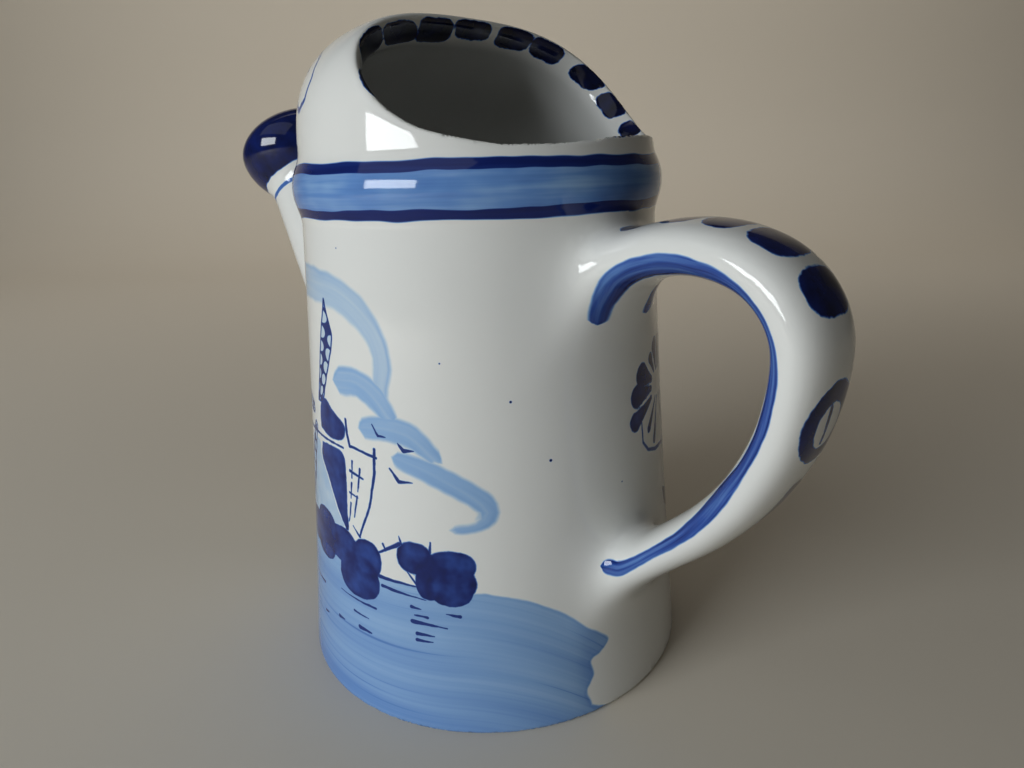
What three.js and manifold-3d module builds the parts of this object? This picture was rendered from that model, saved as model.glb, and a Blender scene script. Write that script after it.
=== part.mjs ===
// A small glazed earthenware jug in the shape of a watering can: a round body that widens to its foot,
// a raised band, a hood over the pouring side, an open mouth, a strap handle and a spout with a rose.
// Units are millimetres. Z is up, the foot stands on z = 0 round the Z axis, +X points to the spout
// and -X to the handle. Everything is luted and fired as one hollow piece.
import * as THREE from "three";
import { mergeVertices } from "three/addons/utils/BufferGeometryUtils.js";
import Module from "manifold-3d";

// Body
const FOOT_RADIUS = 40.4;
const WAIST_RADIUS = 36.2; // control point of the flare's curve
const NECK_RADIUS = 33.8; // under the band
const BAND_BOTTOM = 89.8;
const BAND_TOP = 99.3;
const BAND_SOFTNESS = 1.4; // power of the sine that rounds the band into the wall
const BAND_BULGE = 1.2;
const FOOT_ROUNDING = 0.8;
const WALL = 4.5;
const FLOOR = 5;
const FLOOR_ROUNDING = 7; // inside, where wall and floor meet

// Hood: a superellipse dome of revolution over the band
const HOOD_RADIUS = 33.3;
const HOOD_BASE = 99.6;
const HOOD_HEIGHT = 24.4;
const HOOD_POWER = 2.79;

// Mouth: level beside the handle, then its edge climbs the hood as a parabola in side view
const RIM_HEIGHT = 102.3;
const RIM_LEVEL_X = -26.9; // where the level stretch ends
const RIM_CLIMB = 0.0319; // height gained per square millimetre of run
const MOUTH_MIDDLE = new THREE.Vector3(-15, 0, 104);
const BEVEL_REACH = 7.5; // half length of the bevelled cut, past both faces of the wall
const ABOVE_MOUTH = new THREE.Vector3(-45, 0, 165); // well outside, where the cut for the mouth ends

// Handle and spout grow fatter where they meet the wall
const JOIN_FLARE = 3.4; // at the wall
const JOIN_RUN = 3.6; // distance from the wall over which the flare fades

// Handle: points of its middle line (distance from the axis, height), and its section along the way
const HANDLE_LINE = [[29.5, 74], [38.6, 82.4], [50.8, 85.4], [62.2, 82.6], [68.3, 74.6],
  [67.6, 62.6], [63, 51.6], [56.2, 42.6], [47.8, 34.7], [40, 27.8], [31, 20.5]];
const HANDLE_HALF_WIDTH = [8.8, 8, 6.8]; // at the top, the middle and the bottom
const HANDLE_HALF_DEPTH = [4.4, 4, 3.6];
const HANDLE_RING_PULL = 0.08; // draws the rings of the swept shape towards the roots

// Spout: a straight tapering tube that ends in a rose
const SPOUT_ROOT = new THREE.Vector3(34, 0, 36.9);
const SPOUT_ANGLE = 59.7; // degrees above the horizontal
const SPOUT_BURIED = 22; // length below that point, inside the body's wall
const SPOUT_ROOT_RADIUS = 11.9;
const SPOUT_WALL = 3.8;
const PASSAGE_START = -14; // length along the spout, inside the body's hollow
const NECK_AT = 65.4; // length along the spout to its narrow neck
const NECK_OF_SPOUT_RADIUS = 10.4;
const ROSE_AT = 77.2; // to the rose's widest circle
const ROSE_RADIUS = 14.8;
const ROSE_DOME = 7.9; // height of the rose's face over that circle
const ROSE_SWELL = 1.3; // power of the sine by which the neck widens into the rose
const ROSE_HOLLOW = [[-4.8, 0.86], [0, 1], [2.4, 0.8], [4.1, 0.35]]; // rings: length past it, share of radius
const ROSE_HOLE_RADIUS = 1.1;
const ROSE_HOLE_RING = 6.5;
const ROSE_HOLES = 6; // round the one in the middle

// Fineness
const ROUND_SIDES = 64;
const ROUNDING_STEPS = 3;
const FLARE_STEPS = 8;
const BAND_STEPS = 8;
const DOME_STEPS = 9;
const RIM_SIDES = 64;
const HANDLE_SIDES = 20;
const HANDLE_STEPS = 38;
const SPOUT_SIDES = 28;
const ROOT_RINGS = 20; // close together where the spout flares into the wall
const ROOT_RING_STEP = 2.4;
const NECK_RINGS = [45, 63.4, 66.4, 69.4, 73.4]; // lengths along the spout
const DOME_RINGS = [0, 0.35, 0.6, 0.8, 0.92, 0.985]; // shares of the dome's height
const PASSAGE_SIDES = 20;
const HOLE_SIDES = 8;
const EDGE_HALVINGS = 40; // rounds of the search for the mouth's edge
const EDGE_FARTHEST = 60; // the search's outer end
const EDGE_TURN = 0.01; // turn between the points that give the edge's direction
const WELD = 1e-4; // points nearer than this are one

const COLOUR = 0xeceef0;
const ROUGHNESS = 0.12;

// Radius of the outer wall between the foot and the band.
function wallRadius(z) {
  const t = THREE.MathUtils.clamp(z / BAND_BOTTOM, 0, 1);
  return (1 - t) ** 2 * FOOT_RADIUS + 2 * t * (1 - t) * WAIST_RADIUS + t ** 2 * NECK_RADIUS;
}

// Points of the hood's outline, from its base to its top, for the hood shrunk by inset.
function hoodOutline(inset) {
  const radius = HOOD_RADIUS - inset;
  const height = HOOD_HEIGHT - inset;
  return Array.from({ length: DOME_STEPS + 1 }, (_, i) => {
    const turn = (i / DOME_STEPS) * Math.PI / 2;
    return new THREE.Vector2(
      radius * Math.cos(turn) ** (2 / HOOD_POWER),
      HOOD_BASE + height * Math.sin(turn) ** (2 / HOOD_POWER),
    );
  });
}

// The outline of the whole outside, from the middle of the foot to the top of the hood.
function outerOutline() {
  const points = [new THREE.Vector2(0, 0)];
  for (let i = 0; i <= ROUNDING_STEPS; i++) {
    const turn = (i / ROUNDING_STEPS) * Math.PI / 2;
    points.push(new THREE.Vector2(
      FOOT_RADIUS - FOOT_ROUNDING * (1 - Math.sin(turn)),
      FOOT_ROUNDING * (1 - Math.cos(turn)),
    ));
  }
  for (let i = 1; i <= FLARE_STEPS; i++) {
    const z = FOOT_ROUNDING + (i / FLARE_STEPS) * (BAND_BOTTOM - FOOT_ROUNDING);
    points.push(new THREE.Vector2(wallRadius(z), z));
  }
  for (let i = 1; i < BAND_STEPS; i++) {
    const t = i / BAND_STEPS;
    const bulge = BAND_BULGE * Math.sin(t * Math.PI) ** BAND_SOFTNESS;
    points.push(new THREE.Vector2(NECK_RADIUS + bulge, BAND_BOTTOM + t * (BAND_TOP - BAND_BOTTOM)));
  }
  const hood = hoodOutline(0);
  hood[hood.length - 1].x = 0;
  return points.concat(hood);
}

// The outline of the hollow, from the middle of the floor to the underside of the hood.
function innerOutline() {
  const points = [new THREE.Vector2(0, FLOOR)];
  const side = wallRadius(FLOOR + FLOOR_ROUNDING) - WALL;
  for (let i = 0; i <= ROUNDING_STEPS; i++) {
    const turn = (i / ROUNDING_STEPS) * Math.PI / 2;
    points.push(new THREE.Vector2(
      side - FLOOR_ROUNDING * (1 - Math.sin(turn)),
      FLOOR + FLOOR_ROUNDING * (1 - Math.cos(turn)),
    ));
  }
  for (let i = 1; i <= FLARE_STEPS; i++) {
    const from = FLOOR + FLOOR_ROUNDING;
    const z = from + (i / FLARE_STEPS) * (BAND_BOTTOM - from);
    points.push(new THREE.Vector2(wallRadius(z) - WALL, z));
  }
  const hood = hoodOutline(WALL);
  hood[hood.length - 1].x = 0;
  return points.concat(hood);
}

// A solid of revolution about the Z axis.
function turned(outline) {
  return new THREE.LatheGeometry(outline, ROUND_SIDES).rotateX(Math.PI / 2);
}

// A closed tube: each ring of a cylinder is moved to where place(share, across, along) puts it.
// share runs from 0 to 1 along the tube, and (across, along) is a point of the unit circle.
function tube(sides, steps, place) {
  const geometry = new THREE.CylinderGeometry(1, 1, 1, sides, steps);
  const position = geometry.getAttribute("position");
  const point = new THREE.Vector3();
  for (let i = 0; i < position.count; i++) {
    point.fromBufferAttribute(position, i);
    const moved = place(point.y + 0.5, point.x, point.z);
    position.setXYZ(i, moved.x, moved.y, moved.z);
  }
  return geometry;
}

// Reads a value off three given at the start, the middle and the end.
function along(values, share) {
  const [start, middle, end] = values;
  return share < 0.5
    ? THREE.MathUtils.lerp(start, middle, share * 2)
    : THREE.MathUtils.lerp(middle, end, share * 2 - 1);
}

// A point at an offset from a tube's middle line, moved further out where the tube joins the wall.
function joined(centre, offset) {
  const point = centre.clone().add(offset);
  const outside = Math.max(Math.hypot(point.x, point.y) - wallRadius(point.z), 0);
  const flare = JOIN_FLARE * Math.exp(-outside / JOIN_RUN);
  return point.addScaledVector(offset.clone().normalize(), offset.length() > 0 ? flare : 0);
}

// The strap handle, an oval section swept along its middle line, with rings closer at its roots.
function handle() {
  const points = HANDLE_LINE.map(([out, z]) => new THREE.Vector3(-out, 0, z));
  const line = new THREE.CatmullRomCurve3(points, false, "centripetal");
  return tube(HANDLE_SIDES, HANDLE_STEPS, (step, across, deep) => {
    const share = step - HANDLE_RING_PULL * Math.sin(2 * Math.PI * step);
    const outward = line.getTangentAt(share).cross(new THREE.Vector3(0, 1, 0));
    const offset = outward.multiplyScalar(deep * along(HANDLE_HALF_DEPTH, share));
    offset.y += across * along(HANDLE_HALF_WIDTH, share);
    return joined(line.getPointAt(share), offset);
  });
}

const SPOUT_DIRECTION = new THREE.Vector3(
  Math.cos(THREE.MathUtils.degToRad(SPOUT_ANGLE)), 0, Math.sin(THREE.MathUtils.degToRad(SPOUT_ANGLE)));
const SPOUT_UP = new THREE.Vector3(-SPOUT_DIRECTION.z, 0, SPOUT_DIRECTION.x);

// The point of the spout's axis at a length along it.
function onSpout(run) {
  return SPOUT_ROOT.clone().addScaledVector(SPOUT_DIRECTION, run);
}

// An offset square to the spout's axis.
function acrossSpout(up, side) {
  return SPOUT_UP.clone().multiplyScalar(up).add(new THREE.Vector3(0, side, 0));
}

// Radius of the outside of the spout at a length along it.
function spoutRadius(run) {
  if (run < NECK_AT) {
    return THREE.MathUtils.lerp(SPOUT_ROOT_RADIUS, NECK_OF_SPOUT_RADIUS, run / NECK_AT);
  }
  if (run < ROSE_AT) {
    const t = (run - NECK_AT) / (ROSE_AT - NECK_AT);
    return THREE.MathUtils.lerp(NECK_OF_SPOUT_RADIUS, ROSE_RADIUS, Math.sin(t * Math.PI / 2) ** ROSE_SWELL);
  }
  const over = Math.min((run - ROSE_AT) / ROSE_DOME, 1);
  return ROSE_RADIUS * Math.sqrt(1 - over * over);
}

// The outside of spout and rose.
function spoutOutside() {
  const root = Array.from({ length: ROOT_RINGS }, (_, i) => -SPOUT_BURIED + i * ROOT_RING_STEP);
  const dome = DOME_RINGS.map((share) => ROSE_AT + share * ROSE_DOME);
  const runs = [...root, ...NECK_RINGS, ...dome];
  return tube(SPOUT_SIDES, runs.length - 1, (share, up, side) => {
    const run = runs[Math.round(share * (runs.length - 1))];
    const radius = spoutRadius(run);
    return joined(onSpout(run), acrossSpout(up * radius, side * radius));
  });
}

// The passage from the body's hollow up into the rose.
function spoutPassage() {
  const hollow = ROSE_RADIUS - SPOUT_WALL;
  const rings = [
    [PASSAGE_START, SPOUT_ROOT_RADIUS - SPOUT_WALL],
    [0, SPOUT_ROOT_RADIUS - SPOUT_WALL],
    [NECK_AT, NECK_OF_SPOUT_RADIUS - SPOUT_WALL],
    ...ROSE_HOLLOW.map(([past, share]) => [ROSE_AT + past, hollow * share]),
  ];
  return tube(PASSAGE_SIDES, rings.length - 1, (share, up, side) => {
    const [run, radius] = rings[Math.round(share * (rings.length - 1))];
    return onSpout(run).add(acrossSpout(up * radius, side * radius));
  });
}

// One small hole through the rose's face.
function roseHole(up, side) {
  return tube(HOLE_SIDES, 1, (share, a, b) => {
    const offset = acrossSpout(up + a * ROSE_HOLE_RADIUS, side + b * ROSE_HOLE_RADIUS);
    return onSpout(ROSE_AT + share * 2 * ROSE_DOME).add(offset);
  });
}

// Height of the mouth's edge over a place along X.
function edgeHeight(x) {
  return RIM_HEIGHT + RIM_CLIMB * Math.max(x - RIM_LEVEL_X, 0) ** 2;
}

// Whether a point lies inside the outer face of band and hood.
function insideHood(point) {
  const radius = Math.hypot(point.x, point.y) / HOOD_RADIUS;
  const height = Math.max(point.z - HOOD_BASE, 0) / HOOD_HEIGHT;
  return radius ** HOOD_POWER + height ** HOOD_POWER < 1;
}

// The point of the mouth's outer edge in a direction seen from above, found by halving.
function edgePoint(turn) {
  let near = 0;
  let far = EDGE_FARTHEST;
  const point = new THREE.Vector3();
  for (let i = 0; i < EDGE_HALVINGS; i++) {
    const reach = (near + far) / 2;
    point.set(MOUTH_MIDDLE.x + reach * Math.cos(turn), reach * Math.sin(turn), 0);
    point.z = edgeHeight(point.x);
    if (insideHood(point)) near = reach;
    else far = reach;
  }
  return point;
}

// The way the bevelled lip slopes at an edge point: into the wall and towards the clay, half and half.
function bevelDirection(turn) {
  const point = edgePoint(turn);
  const radius = Math.hypot(point.x, point.y);
  const steep = (radius / HOOD_RADIUS) ** (HOOD_POWER - 1) / HOOD_RADIUS;
  const rise = (Math.max(point.z - HOOD_BASE, 0) / HOOD_HEIGHT) ** (HOOD_POWER - 1) / HOOD_HEIGHT;
  const normal = new THREE.Vector3(steep * point.x / radius, steep * point.y / radius, rise).normalize();
  const tangent = edgePoint(turn + EDGE_TURN).sub(edgePoint(turn - EDGE_TURN)).normalize();
  const toClay = new THREE.Vector3().crossVectors(normal, tangent).normalize();
  const slope = 2 * RIM_CLIMB * Math.max(point.x - RIM_LEVEL_X, 0);
  if (toClay.dot(new THREE.Vector3(slope, 0, -1)) < 0) toClay.negate();
  return toClay.sub(normal).normalize();
}

// What is cut away for the mouth: a plug whose side is the bevelled lip.
function mouthPlug() {
  return tube(RIM_SIDES, 1, (share, a, b) => {
    if (Math.hypot(a, b) < 0.5) return share > 0.5 ? ABOVE_MOUTH : MOUTH_MIDDLE;
    const turn = Math.atan2(-b, a);
    const reach = share > 0.5 ? -BEVEL_REACH : BEVEL_REACH;
    return edgePoint(turn).addScaledVector(bevelDirection(turn), reach);
  });
}

const wasm = await Module();
wasm.setup();

// A closed geometry as a manifold solid, turned inside out if its faces point inwards.
function solid(geometry) {
  const bare = (geometry.index ? geometry.toNonIndexed() : geometry).clone();
  bare.deleteAttribute("normal");
  bare.deleteAttribute("uv");
  const merged = mergeVertices(bare, WELD);
  const corners = merged.getAttribute("position");
  const triangles = [];
  for (let i = 0; i < merged.index.count; i += 3) {
    const [a, b, c] = [0, 1, 2].map((k) => merged.index.getX(i + k));
    if (a !== b && b !== c && c !== a) triangles.push(a, b, c);
  }
  const make = () => new wasm.Manifold(new wasm.Mesh({
    numProp: 3, vertProperties: corners.array, triVerts: new Uint32Array(triangles),
  }));
  const made = make();
  if (made.volume() > 0) return made;
  for (let i = 0; i < triangles.length; i += 3) {
    [triangles[i + 1], triangles[i + 2]] = [triangles[i + 2], triangles[i + 1]];
  }
  return make();
}

// A manifold solid as a geometry that a mesh can show.
function geometryOf(made) {
  const mesh = made.getMesh();
  const geometry = new THREE.BufferGeometry();
  geometry.setAttribute("position", new THREE.BufferAttribute(new Float32Array(mesh.vertProperties), 3));
  geometry.setIndex(new THREE.BufferAttribute(new Uint32Array(mesh.triVerts), 1));
  geometry.computeVertexNormals();
  return geometry;
}

// The whole jug: body, handle and spout joined, then hollowed, opened and pierced.
function jug() {
  const clay = solid(turned(outerOutline())).add(solid(handle())).add(solid(spoutOutside()));
  let hollow = solid(turned(innerOutline())).add(solid(spoutPassage()));
  hollow = hollow.add(solid(roseHole(0, 0)));
  for (let i = 0; i < ROSE_HOLES; i++) {
    const turn = (i / ROSE_HOLES) * 2 * Math.PI;
    hollow = hollow.add(solid(roseHole(ROSE_HOLE_RING * Math.cos(turn), ROSE_HOLE_RING * Math.sin(turn))));
  }
  return clay.subtract(hollow).subtract(solid(mouthPlug()));
}

const glaze = new THREE.MeshStandardMaterial({ color: COLOUR, roughness: ROUGHNESS, metalness: 0 });
const jugMesh = new THREE.Mesh(geometryOf(jug()), glaze);
jugMesh.name = "jug";

const model = new THREE.Group();
model.add(jugMesh);

export default model;
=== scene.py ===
"""A small tin-glazed earthenware jug in the shape of a watering can, painted in cobalt blue.

The clay is one signed distance field: negative inside the clay, positive outside. Its sizes are in
millimetres, x towards the spout, y towards the side with the mill, z up from the foot. The mesh that is
cut from the field is scaled to metres when it is made. The painter works in two ways. Broad strokes
are measured on the mesh's own points, and fine lines are drawn by the glaze's shader.
"""
import logging
import math
from dataclasses import dataclass
from enum import Enum
from typing import Sequence

import bpy
import numpy as np
from mathutils import Matrix, Vector


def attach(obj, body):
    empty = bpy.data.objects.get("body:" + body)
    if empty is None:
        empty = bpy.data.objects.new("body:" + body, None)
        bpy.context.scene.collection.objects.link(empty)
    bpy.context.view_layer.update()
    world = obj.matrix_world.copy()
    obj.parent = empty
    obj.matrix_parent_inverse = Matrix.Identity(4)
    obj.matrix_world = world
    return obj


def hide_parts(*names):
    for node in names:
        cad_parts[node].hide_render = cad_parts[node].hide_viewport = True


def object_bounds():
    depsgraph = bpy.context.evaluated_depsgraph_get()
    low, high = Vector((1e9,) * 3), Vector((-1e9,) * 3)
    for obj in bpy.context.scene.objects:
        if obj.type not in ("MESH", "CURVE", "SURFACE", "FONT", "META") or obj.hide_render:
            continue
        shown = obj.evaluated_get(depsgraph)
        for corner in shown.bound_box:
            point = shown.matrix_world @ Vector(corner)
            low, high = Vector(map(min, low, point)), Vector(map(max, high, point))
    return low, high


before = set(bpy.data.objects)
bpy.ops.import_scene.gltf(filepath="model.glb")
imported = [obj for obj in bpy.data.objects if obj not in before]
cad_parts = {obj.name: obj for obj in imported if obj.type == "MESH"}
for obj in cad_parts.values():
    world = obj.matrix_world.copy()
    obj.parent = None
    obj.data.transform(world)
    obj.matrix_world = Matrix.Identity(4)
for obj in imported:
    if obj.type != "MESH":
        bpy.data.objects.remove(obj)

MM = 0.001

# Distances in millimetres: FAR stands for "nowhere near", CLEAR is far enough that no paint shows.
FAR = 99.0
CLEAR = 9.0

Field = np.ndarray
Points = Sequence[tuple[float, ...]]
Line = tuple[float, float, Points]

log = logging.getLogger("jug")


def smooth_union(a: Field, b: Field, reach: float) -> Field:
    """Join two fields with a soft fillet.

    Args:
        a: Distance to the first form, in millimetres.
        b: Distance to the second form.
        reach: Distance over which the two forms flow together.

    Returns:
        The field of both forms.
    """
    overlap = np.maximum(reach - np.abs(a - b), 0.0) / reach
    return np.minimum(a, b) - overlap**3 * reach / 6.0


def smooth_cut(a: Field, b: Field, reach: float) -> Field:
    """Keep what lies in both fields, with a rounded edge between them."""
    return -smooth_union(-a, -b, reach)


def oval_field(parts: Sequence[tuple[Field, Field]], power: float = 2.0) -> Field:
    """Measure how far points lie outside an oval or a squarer superellipse.

    Args:
        parts: Pairs of an offset from the middle and the half size along it.
        power: 2 for an ellipse, more for a squarer form.

    Returns:
        A field that is a true distance near the oval's surface.
    """
    shares = [np.abs(offset) / half for offset, half in parts]
    size = np.maximum(sum(share**power for share in shares), 1e-9) ** (1.0 / power)
    slope = sum((share ** (power - 1.0) / half) ** 2 for share, (_, half) in zip(shares, parts))
    slope = np.sqrt(np.maximum(slope, 1e-9)) * size ** (1.0 - power)
    return (size - 1.0) / np.maximum(slope, 1e-3)


def smoothstep(low: float, high: float, value: Field) -> Field:
    """Rise softly from 0 at low to 1 at high."""
    share = np.clip((value - low) / (high - low), 0.0, 1.0)
    return share * share * (3.0 - 2.0 * share)


class Curve:
    """A smooth curve through a few given points of a plane, measured by its length."""

    def __init__(self, points: Points, steps: int = 12) -> None:
        """Thread the curve.

        Args:
            points: Places of the plane that the curve runs through.
            steps: Straight pieces between two neighbouring points.
        """
        given = np.array(points, float)
        ends = np.vstack([2 * given[0] - given[1], given, 2 * given[-1] - given[-2]])
        before, here, after, beyond = ends[:-3], ends[1:-2], ends[2:-1], ends[3:]
        rows = []
        for t in np.arange(steps) / steps:
            rows.append(0.5 * (2 * here + (after - before) * t
                               + (2 * before - 5 * here + 4 * after - beyond) * t**2
                               + (3 * here - before - 3 * after + beyond) * t**3))
        inner = np.stack(rows, 1).reshape(-1, given.shape[1])
        self.places = np.vstack([inner, given[-1:]])
        pieces = np.diff(self.places[:, :2], axis=0)
        self.runs = np.concatenate([[0.0], np.cumsum(np.hypot(*pieces.T))])
        slopes = np.gradient(self.places[:, :2], self.runs, axis=0)
        self.slopes = slopes / np.linalg.norm(slopes, axis=1, keepdims=True)

    @property
    def length(self) -> float:
        """Whole length of the curve."""
        return float(self.runs[-1])

    def nearest(self, a: Field, b: Field) -> tuple[Field, Field, Field]:
        """Find where points of the plane lie against the curve.

        Args:
            a: First coordinate of the points.
            b: Second coordinate.

        Returns:
            The run along the curve, the offset to its left, and how far a point is past an end.
        """
        best = np.full(a.shape, np.inf)
        piece = np.zeros(a.shape, int)
        share = np.zeros(a.shape)
        for i, (start, end) in enumerate(zip(self.places[:-1, :2], self.places[1:, :2])):
            step = end - start
            t = ((a - start[0]) * step[0] + (b - start[1]) * step[1]) / (step @ step)
            t = np.clip(t, 0.0, 1.0)
            gap = (a - start[0] - t * step[0]) ** 2 + (b - start[1] - t * step[1]) ** 2
            closer = gap < best
            best = np.where(closer, gap, best)
            piece = np.where(closer, i, piece)
            share = np.where(closer, t, share)
        rest = 1.0 - share
        slope = self.slopes[piece] * rest[..., None] + self.slopes[piece + 1] * share[..., None]
        slope /= np.linalg.norm(slope, axis=-1, keepdims=True)
        place = self.places[piece] * rest[..., None] + self.places[piece + 1] * share[..., None]
        across, up = a - place[..., 0], b - place[..., 1]
        run = self.runs[piece] * rest + self.runs[piece + 1] * share
        left = up * slope[..., 0] - across * slope[..., 1]
        past = np.abs(across * slope[..., 0] + up * slope[..., 1])
        return run, left, past


@dataclass(frozen=True)
class Body:
    """The turned body: flared wall, raised band, hood and hollow, in millimetres."""

    foot_radius: float = 40.4
    waist_radius: float = 36.2
    neck_radius: float = 33.8
    foot_rounding: float = 1.4
    band_bottom: float = 89.8
    band_middle: float = 94.6
    bead_radius: float = 31.5
    bead_depth: float = 3.45
    bead_half_height: float = 5.2
    bead_softness: float = 2.5
    hood_base: float = 99.6
    hood_radius: float = 33.3
    hood_height: float = 24.4
    hood_power: float = 2.79
    wall: float = 4.5
    floor: float = 5.0
    floor_rounding: float = 12.0

    def wall_radius(self, z: Field) -> Field:
        """Radius of the outer wall at a height, below the hood.

        Args:
            z: Heights.

        Returns:
            The radius, in millimetres.
        """
        t = np.clip(z / self.band_bottom, 0.0, 1.0)
        flare = ((1 - t) ** 2 * self.foot_radius + 2 * t * (1 - t) * self.waist_radius
                 + t**2 * self.neck_radius)
        narrowing = self.hood_radius - self.neck_radius
        return flare + narrowing * smoothstep(self.band_bottom, self.hood_base, z)

    def skin(self, r: Field, z: Field, inset: float = 0.0) -> Field:
        """Field of the wall and hood, shrunk by an inset."""
        hood = oval_field([(r, self.hood_radius - inset),
                           (np.maximum(z - self.hood_base, 0.0), self.hood_height - inset)], self.hood_power)
        return np.where(z < self.hood_base, r - self.wall_radius(z) + inset, hood)

    def outside(self, r: Field, z: Field) -> Field:
        """Field of the body as if it were solid, with its band and rounded foot."""
        bead = oval_field([(r - self.bead_radius, self.bead_depth),
                           (z - self.band_middle, self.bead_half_height)])
        return smooth_cut(smooth_union(self.skin(r, z), bead, self.bead_softness), -z, self.foot_rounding)

    def hollow(self, r: Field, z: Field) -> Field:
        """Field of the space inside."""
        return smooth_cut(self.skin(r, z, self.wall), self.floor - z, self.floor_rounding)


@dataclass(frozen=True)
class Mouth:
    """The slanted cut through the hood and its bevelled lip, in millimetres."""

    rim_height: float = 102.3
    level_x: float = -26.9
    climb: float = 0.0319
    crest_rounding: float = 2.4
    middle: float = -15.0
    waver: Points = ((-180.0, 0.25), (-160.0, 0.5), (-138.0, 0.85), (-118.0, 0.5), (-95.0, 0.0), (95.0, 0.0),
                     (108.0, 0.2), (125.0, -0.65), (148.0, -0.7), (165.0, -0.2), (180.0, 0.25))

    def height(self, x: Field, y: Field) -> Field:
        """Height of the mouth's edge, which wavers a little round the back.

        Args:
            x: Places along the jug.
            y: Places across it.

        Returns:
            The height, in millimetres.
        """
        turn = np.degrees(np.arctan2(y, x - self.middle))
        waver = np.interp(turn, *np.transpose(self.waver))
        return self.rim_height + waver + self.climb * np.maximum(x - self.level_x, 0.0) ** 2

    def above_edge(self, x: Field, y: Field, z: Field) -> Field:
        """How far points lie above the mouth's edge, seen from the side."""
        slope = 2.0 * self.climb * np.maximum(x - self.level_x, 0.0)
        return (z - self.height(x, y)) / np.sqrt(1.0 + slope**2)

    def cut(self, x: Field, y: Field, z: Field, outside: Field) -> Field:
        """Field of what the bevelled cut leaves standing.

        Args:
            x: Places along the jug.
            y: Places across it.
            z: Heights.
            outside: Field of the solid body.

        Returns:
            Negative in the clay that stays, positive in what is cut away.
        """
        return (self.above_edge(x, y, z) - outside) / math.sqrt(2.0)


@dataclass(frozen=True)
class Handle:
    """The strap handle, an oval section along a bent line, in millimetres."""

    line: Points = ((29.5, 74.0), (38.6, 82.4), (50.8, 85.4), (62.2, 82.6), (68.3, 74.6),
                    (67.6, 62.6), (63.0, 51.6), (56.2, 42.6), (47.8, 34.7), (40.0, 27.8), (31.0, 20.5))
    stations: tuple[float, float, float] = (0.0, 0.5, 1.0)
    half_widths: tuple[float, float, float] = (8.8, 8.0, 6.8)
    half_depths: tuple[float, float, float] = (4.4, 4.0, 3.6)
    squareness: float = 2.4
    starts_at: float = -24.0
    overrun: float = 1.0
    join: float = 12.0

    def along(self, x: Field, z: Field) -> tuple[Field, Field, Field, Field]:
        """Place points against the handle's line.

        Args:
            x: Places along the jug.
            z: Heights.

        Returns:
            Share of the way from the top root to the bottom one, offset outwards, distance past an
            end, and the run in millimetres.
        """
        curve = Curve(self.line, 24)
        run, outward, past = curve.nearest(-x, z)
        return run / curve.length, outward, past, run

    def field(self, x: Field, y: Field, z: Field) -> Field:
        """Field of the handle.

        Args:
            x: Places along the jug.
            y: Places across it.
            z: Heights.

        Returns:
            Distances, negative inside the handle.
        """
        x, z = np.broadcast_arrays(x, z)
        near = x < self.starts_at
        share, outward, past = np.zeros(x.shape), np.full(x.shape, FAR), np.zeros(x.shape)
        share[near], outward[near], past[near], _ = self.along(x[near], z[near])
        width = np.interp(share, self.stations, self.half_widths)
        depth = np.interp(share, self.stations, self.half_depths)
        section = oval_field([(y, width), (outward, depth)], self.squareness)
        return np.maximum(section, past - self.overrun)


@dataclass(frozen=True)
class Spout:
    """The straight spout with its pierced rose, in millimetres."""

    root_x: float = 34.0
    root_z: float = 36.9
    angle: float = math.radians(59.7)
    buried: float = 22.0
    root_radius: float = 11.9
    neck_radius: float = 10.4
    neck_at: float = 65.4
    rose_at: float = 77.2
    rose_radius: float = 14.8
    rose_dome: float = 7.9
    rose_back: float = 12.5
    wall: float = 3.8
    hole_radius: float = 1.2
    hole_ring: float = 6.5
    holes: int = 6
    join: float = 11.0
    rose_join: float = 4.0
    passage_join: float = 3.0
    passage_share: float = 0.7

    def place(self, x: Field, y: Field, z: Field) -> tuple[Field, Field]:
        """Run along the spout's axis and the offset above it.

        Args:
            x: Places along the jug.
            y: Places across it; not used.
            z: Heights.

        Returns:
            The run and the offset, in millimetres.
        """
        run = (x - self.root_x) * math.cos(self.angle) + (z - self.root_z) * math.sin(self.angle)
        up = (z - self.root_z) * math.cos(self.angle) - (x - self.root_x) * math.sin(self.angle)
        return run, up

    def outside(self, x: Field, y: Field, z: Field) -> Field:
        """Field of the spout and rose as if they were solid.

        Args:
            x: Places along the jug.
            y: Places across it.
            z: Heights.

        Returns:
            Distances, negative inside.
        """
        run, up = self.place(x, y, z)
        radius = np.hypot(up, y)
        tube = radius - np.interp(run, (0.0, self.neck_at), (self.root_radius, self.neck_radius))
        tube = np.maximum(tube, np.maximum(run - self.rose_at, -self.buried - run))
        half = np.where(run > self.rose_at, self.rose_dome, self.rose_back)
        rose = oval_field([(radius, self.rose_radius), (run - self.rose_at, half)])
        return smooth_union(tube, rose, self.rose_join)

    def passage(self, x: Field, y: Field, z: Field) -> Field:
        """Field of the way through the spout, the rose's hollow and its holes.

        Args:
            x: Places along the jug.
            y: Places across it.
            z: Heights.

        Returns:
            Distances, negative in the open space.
        """
        run, up = self.place(x, y, z)
        radius = np.hypot(up, y)
        tube = radius - np.interp(run, (0.0, self.neck_at),
                                  (self.root_radius - self.wall, self.neck_radius - self.wall))
        tube = np.maximum(tube, np.maximum(run - self.rose_at, -self.passage_share * self.buried - run))
        half = np.where(run > self.rose_at, self.rose_dome - self.wall, self.rose_back - self.wall)
        hollow = smooth_union(tube, oval_field([(radius, self.rose_radius - self.wall),
                                                (run - self.rose_at, half)]), self.passage_join)
        for i in range(self.holes + 1):
            turn = 2.0 * math.pi * i / self.holes
            ring = self.hole_ring if i < self.holes else 0.0
            hole = np.hypot(up - ring * math.cos(turn), y - ring * math.sin(turn)) - self.hole_radius
            hollow = np.minimum(hollow, np.maximum(hole, self.rose_at - run))
        return hollow


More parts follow.
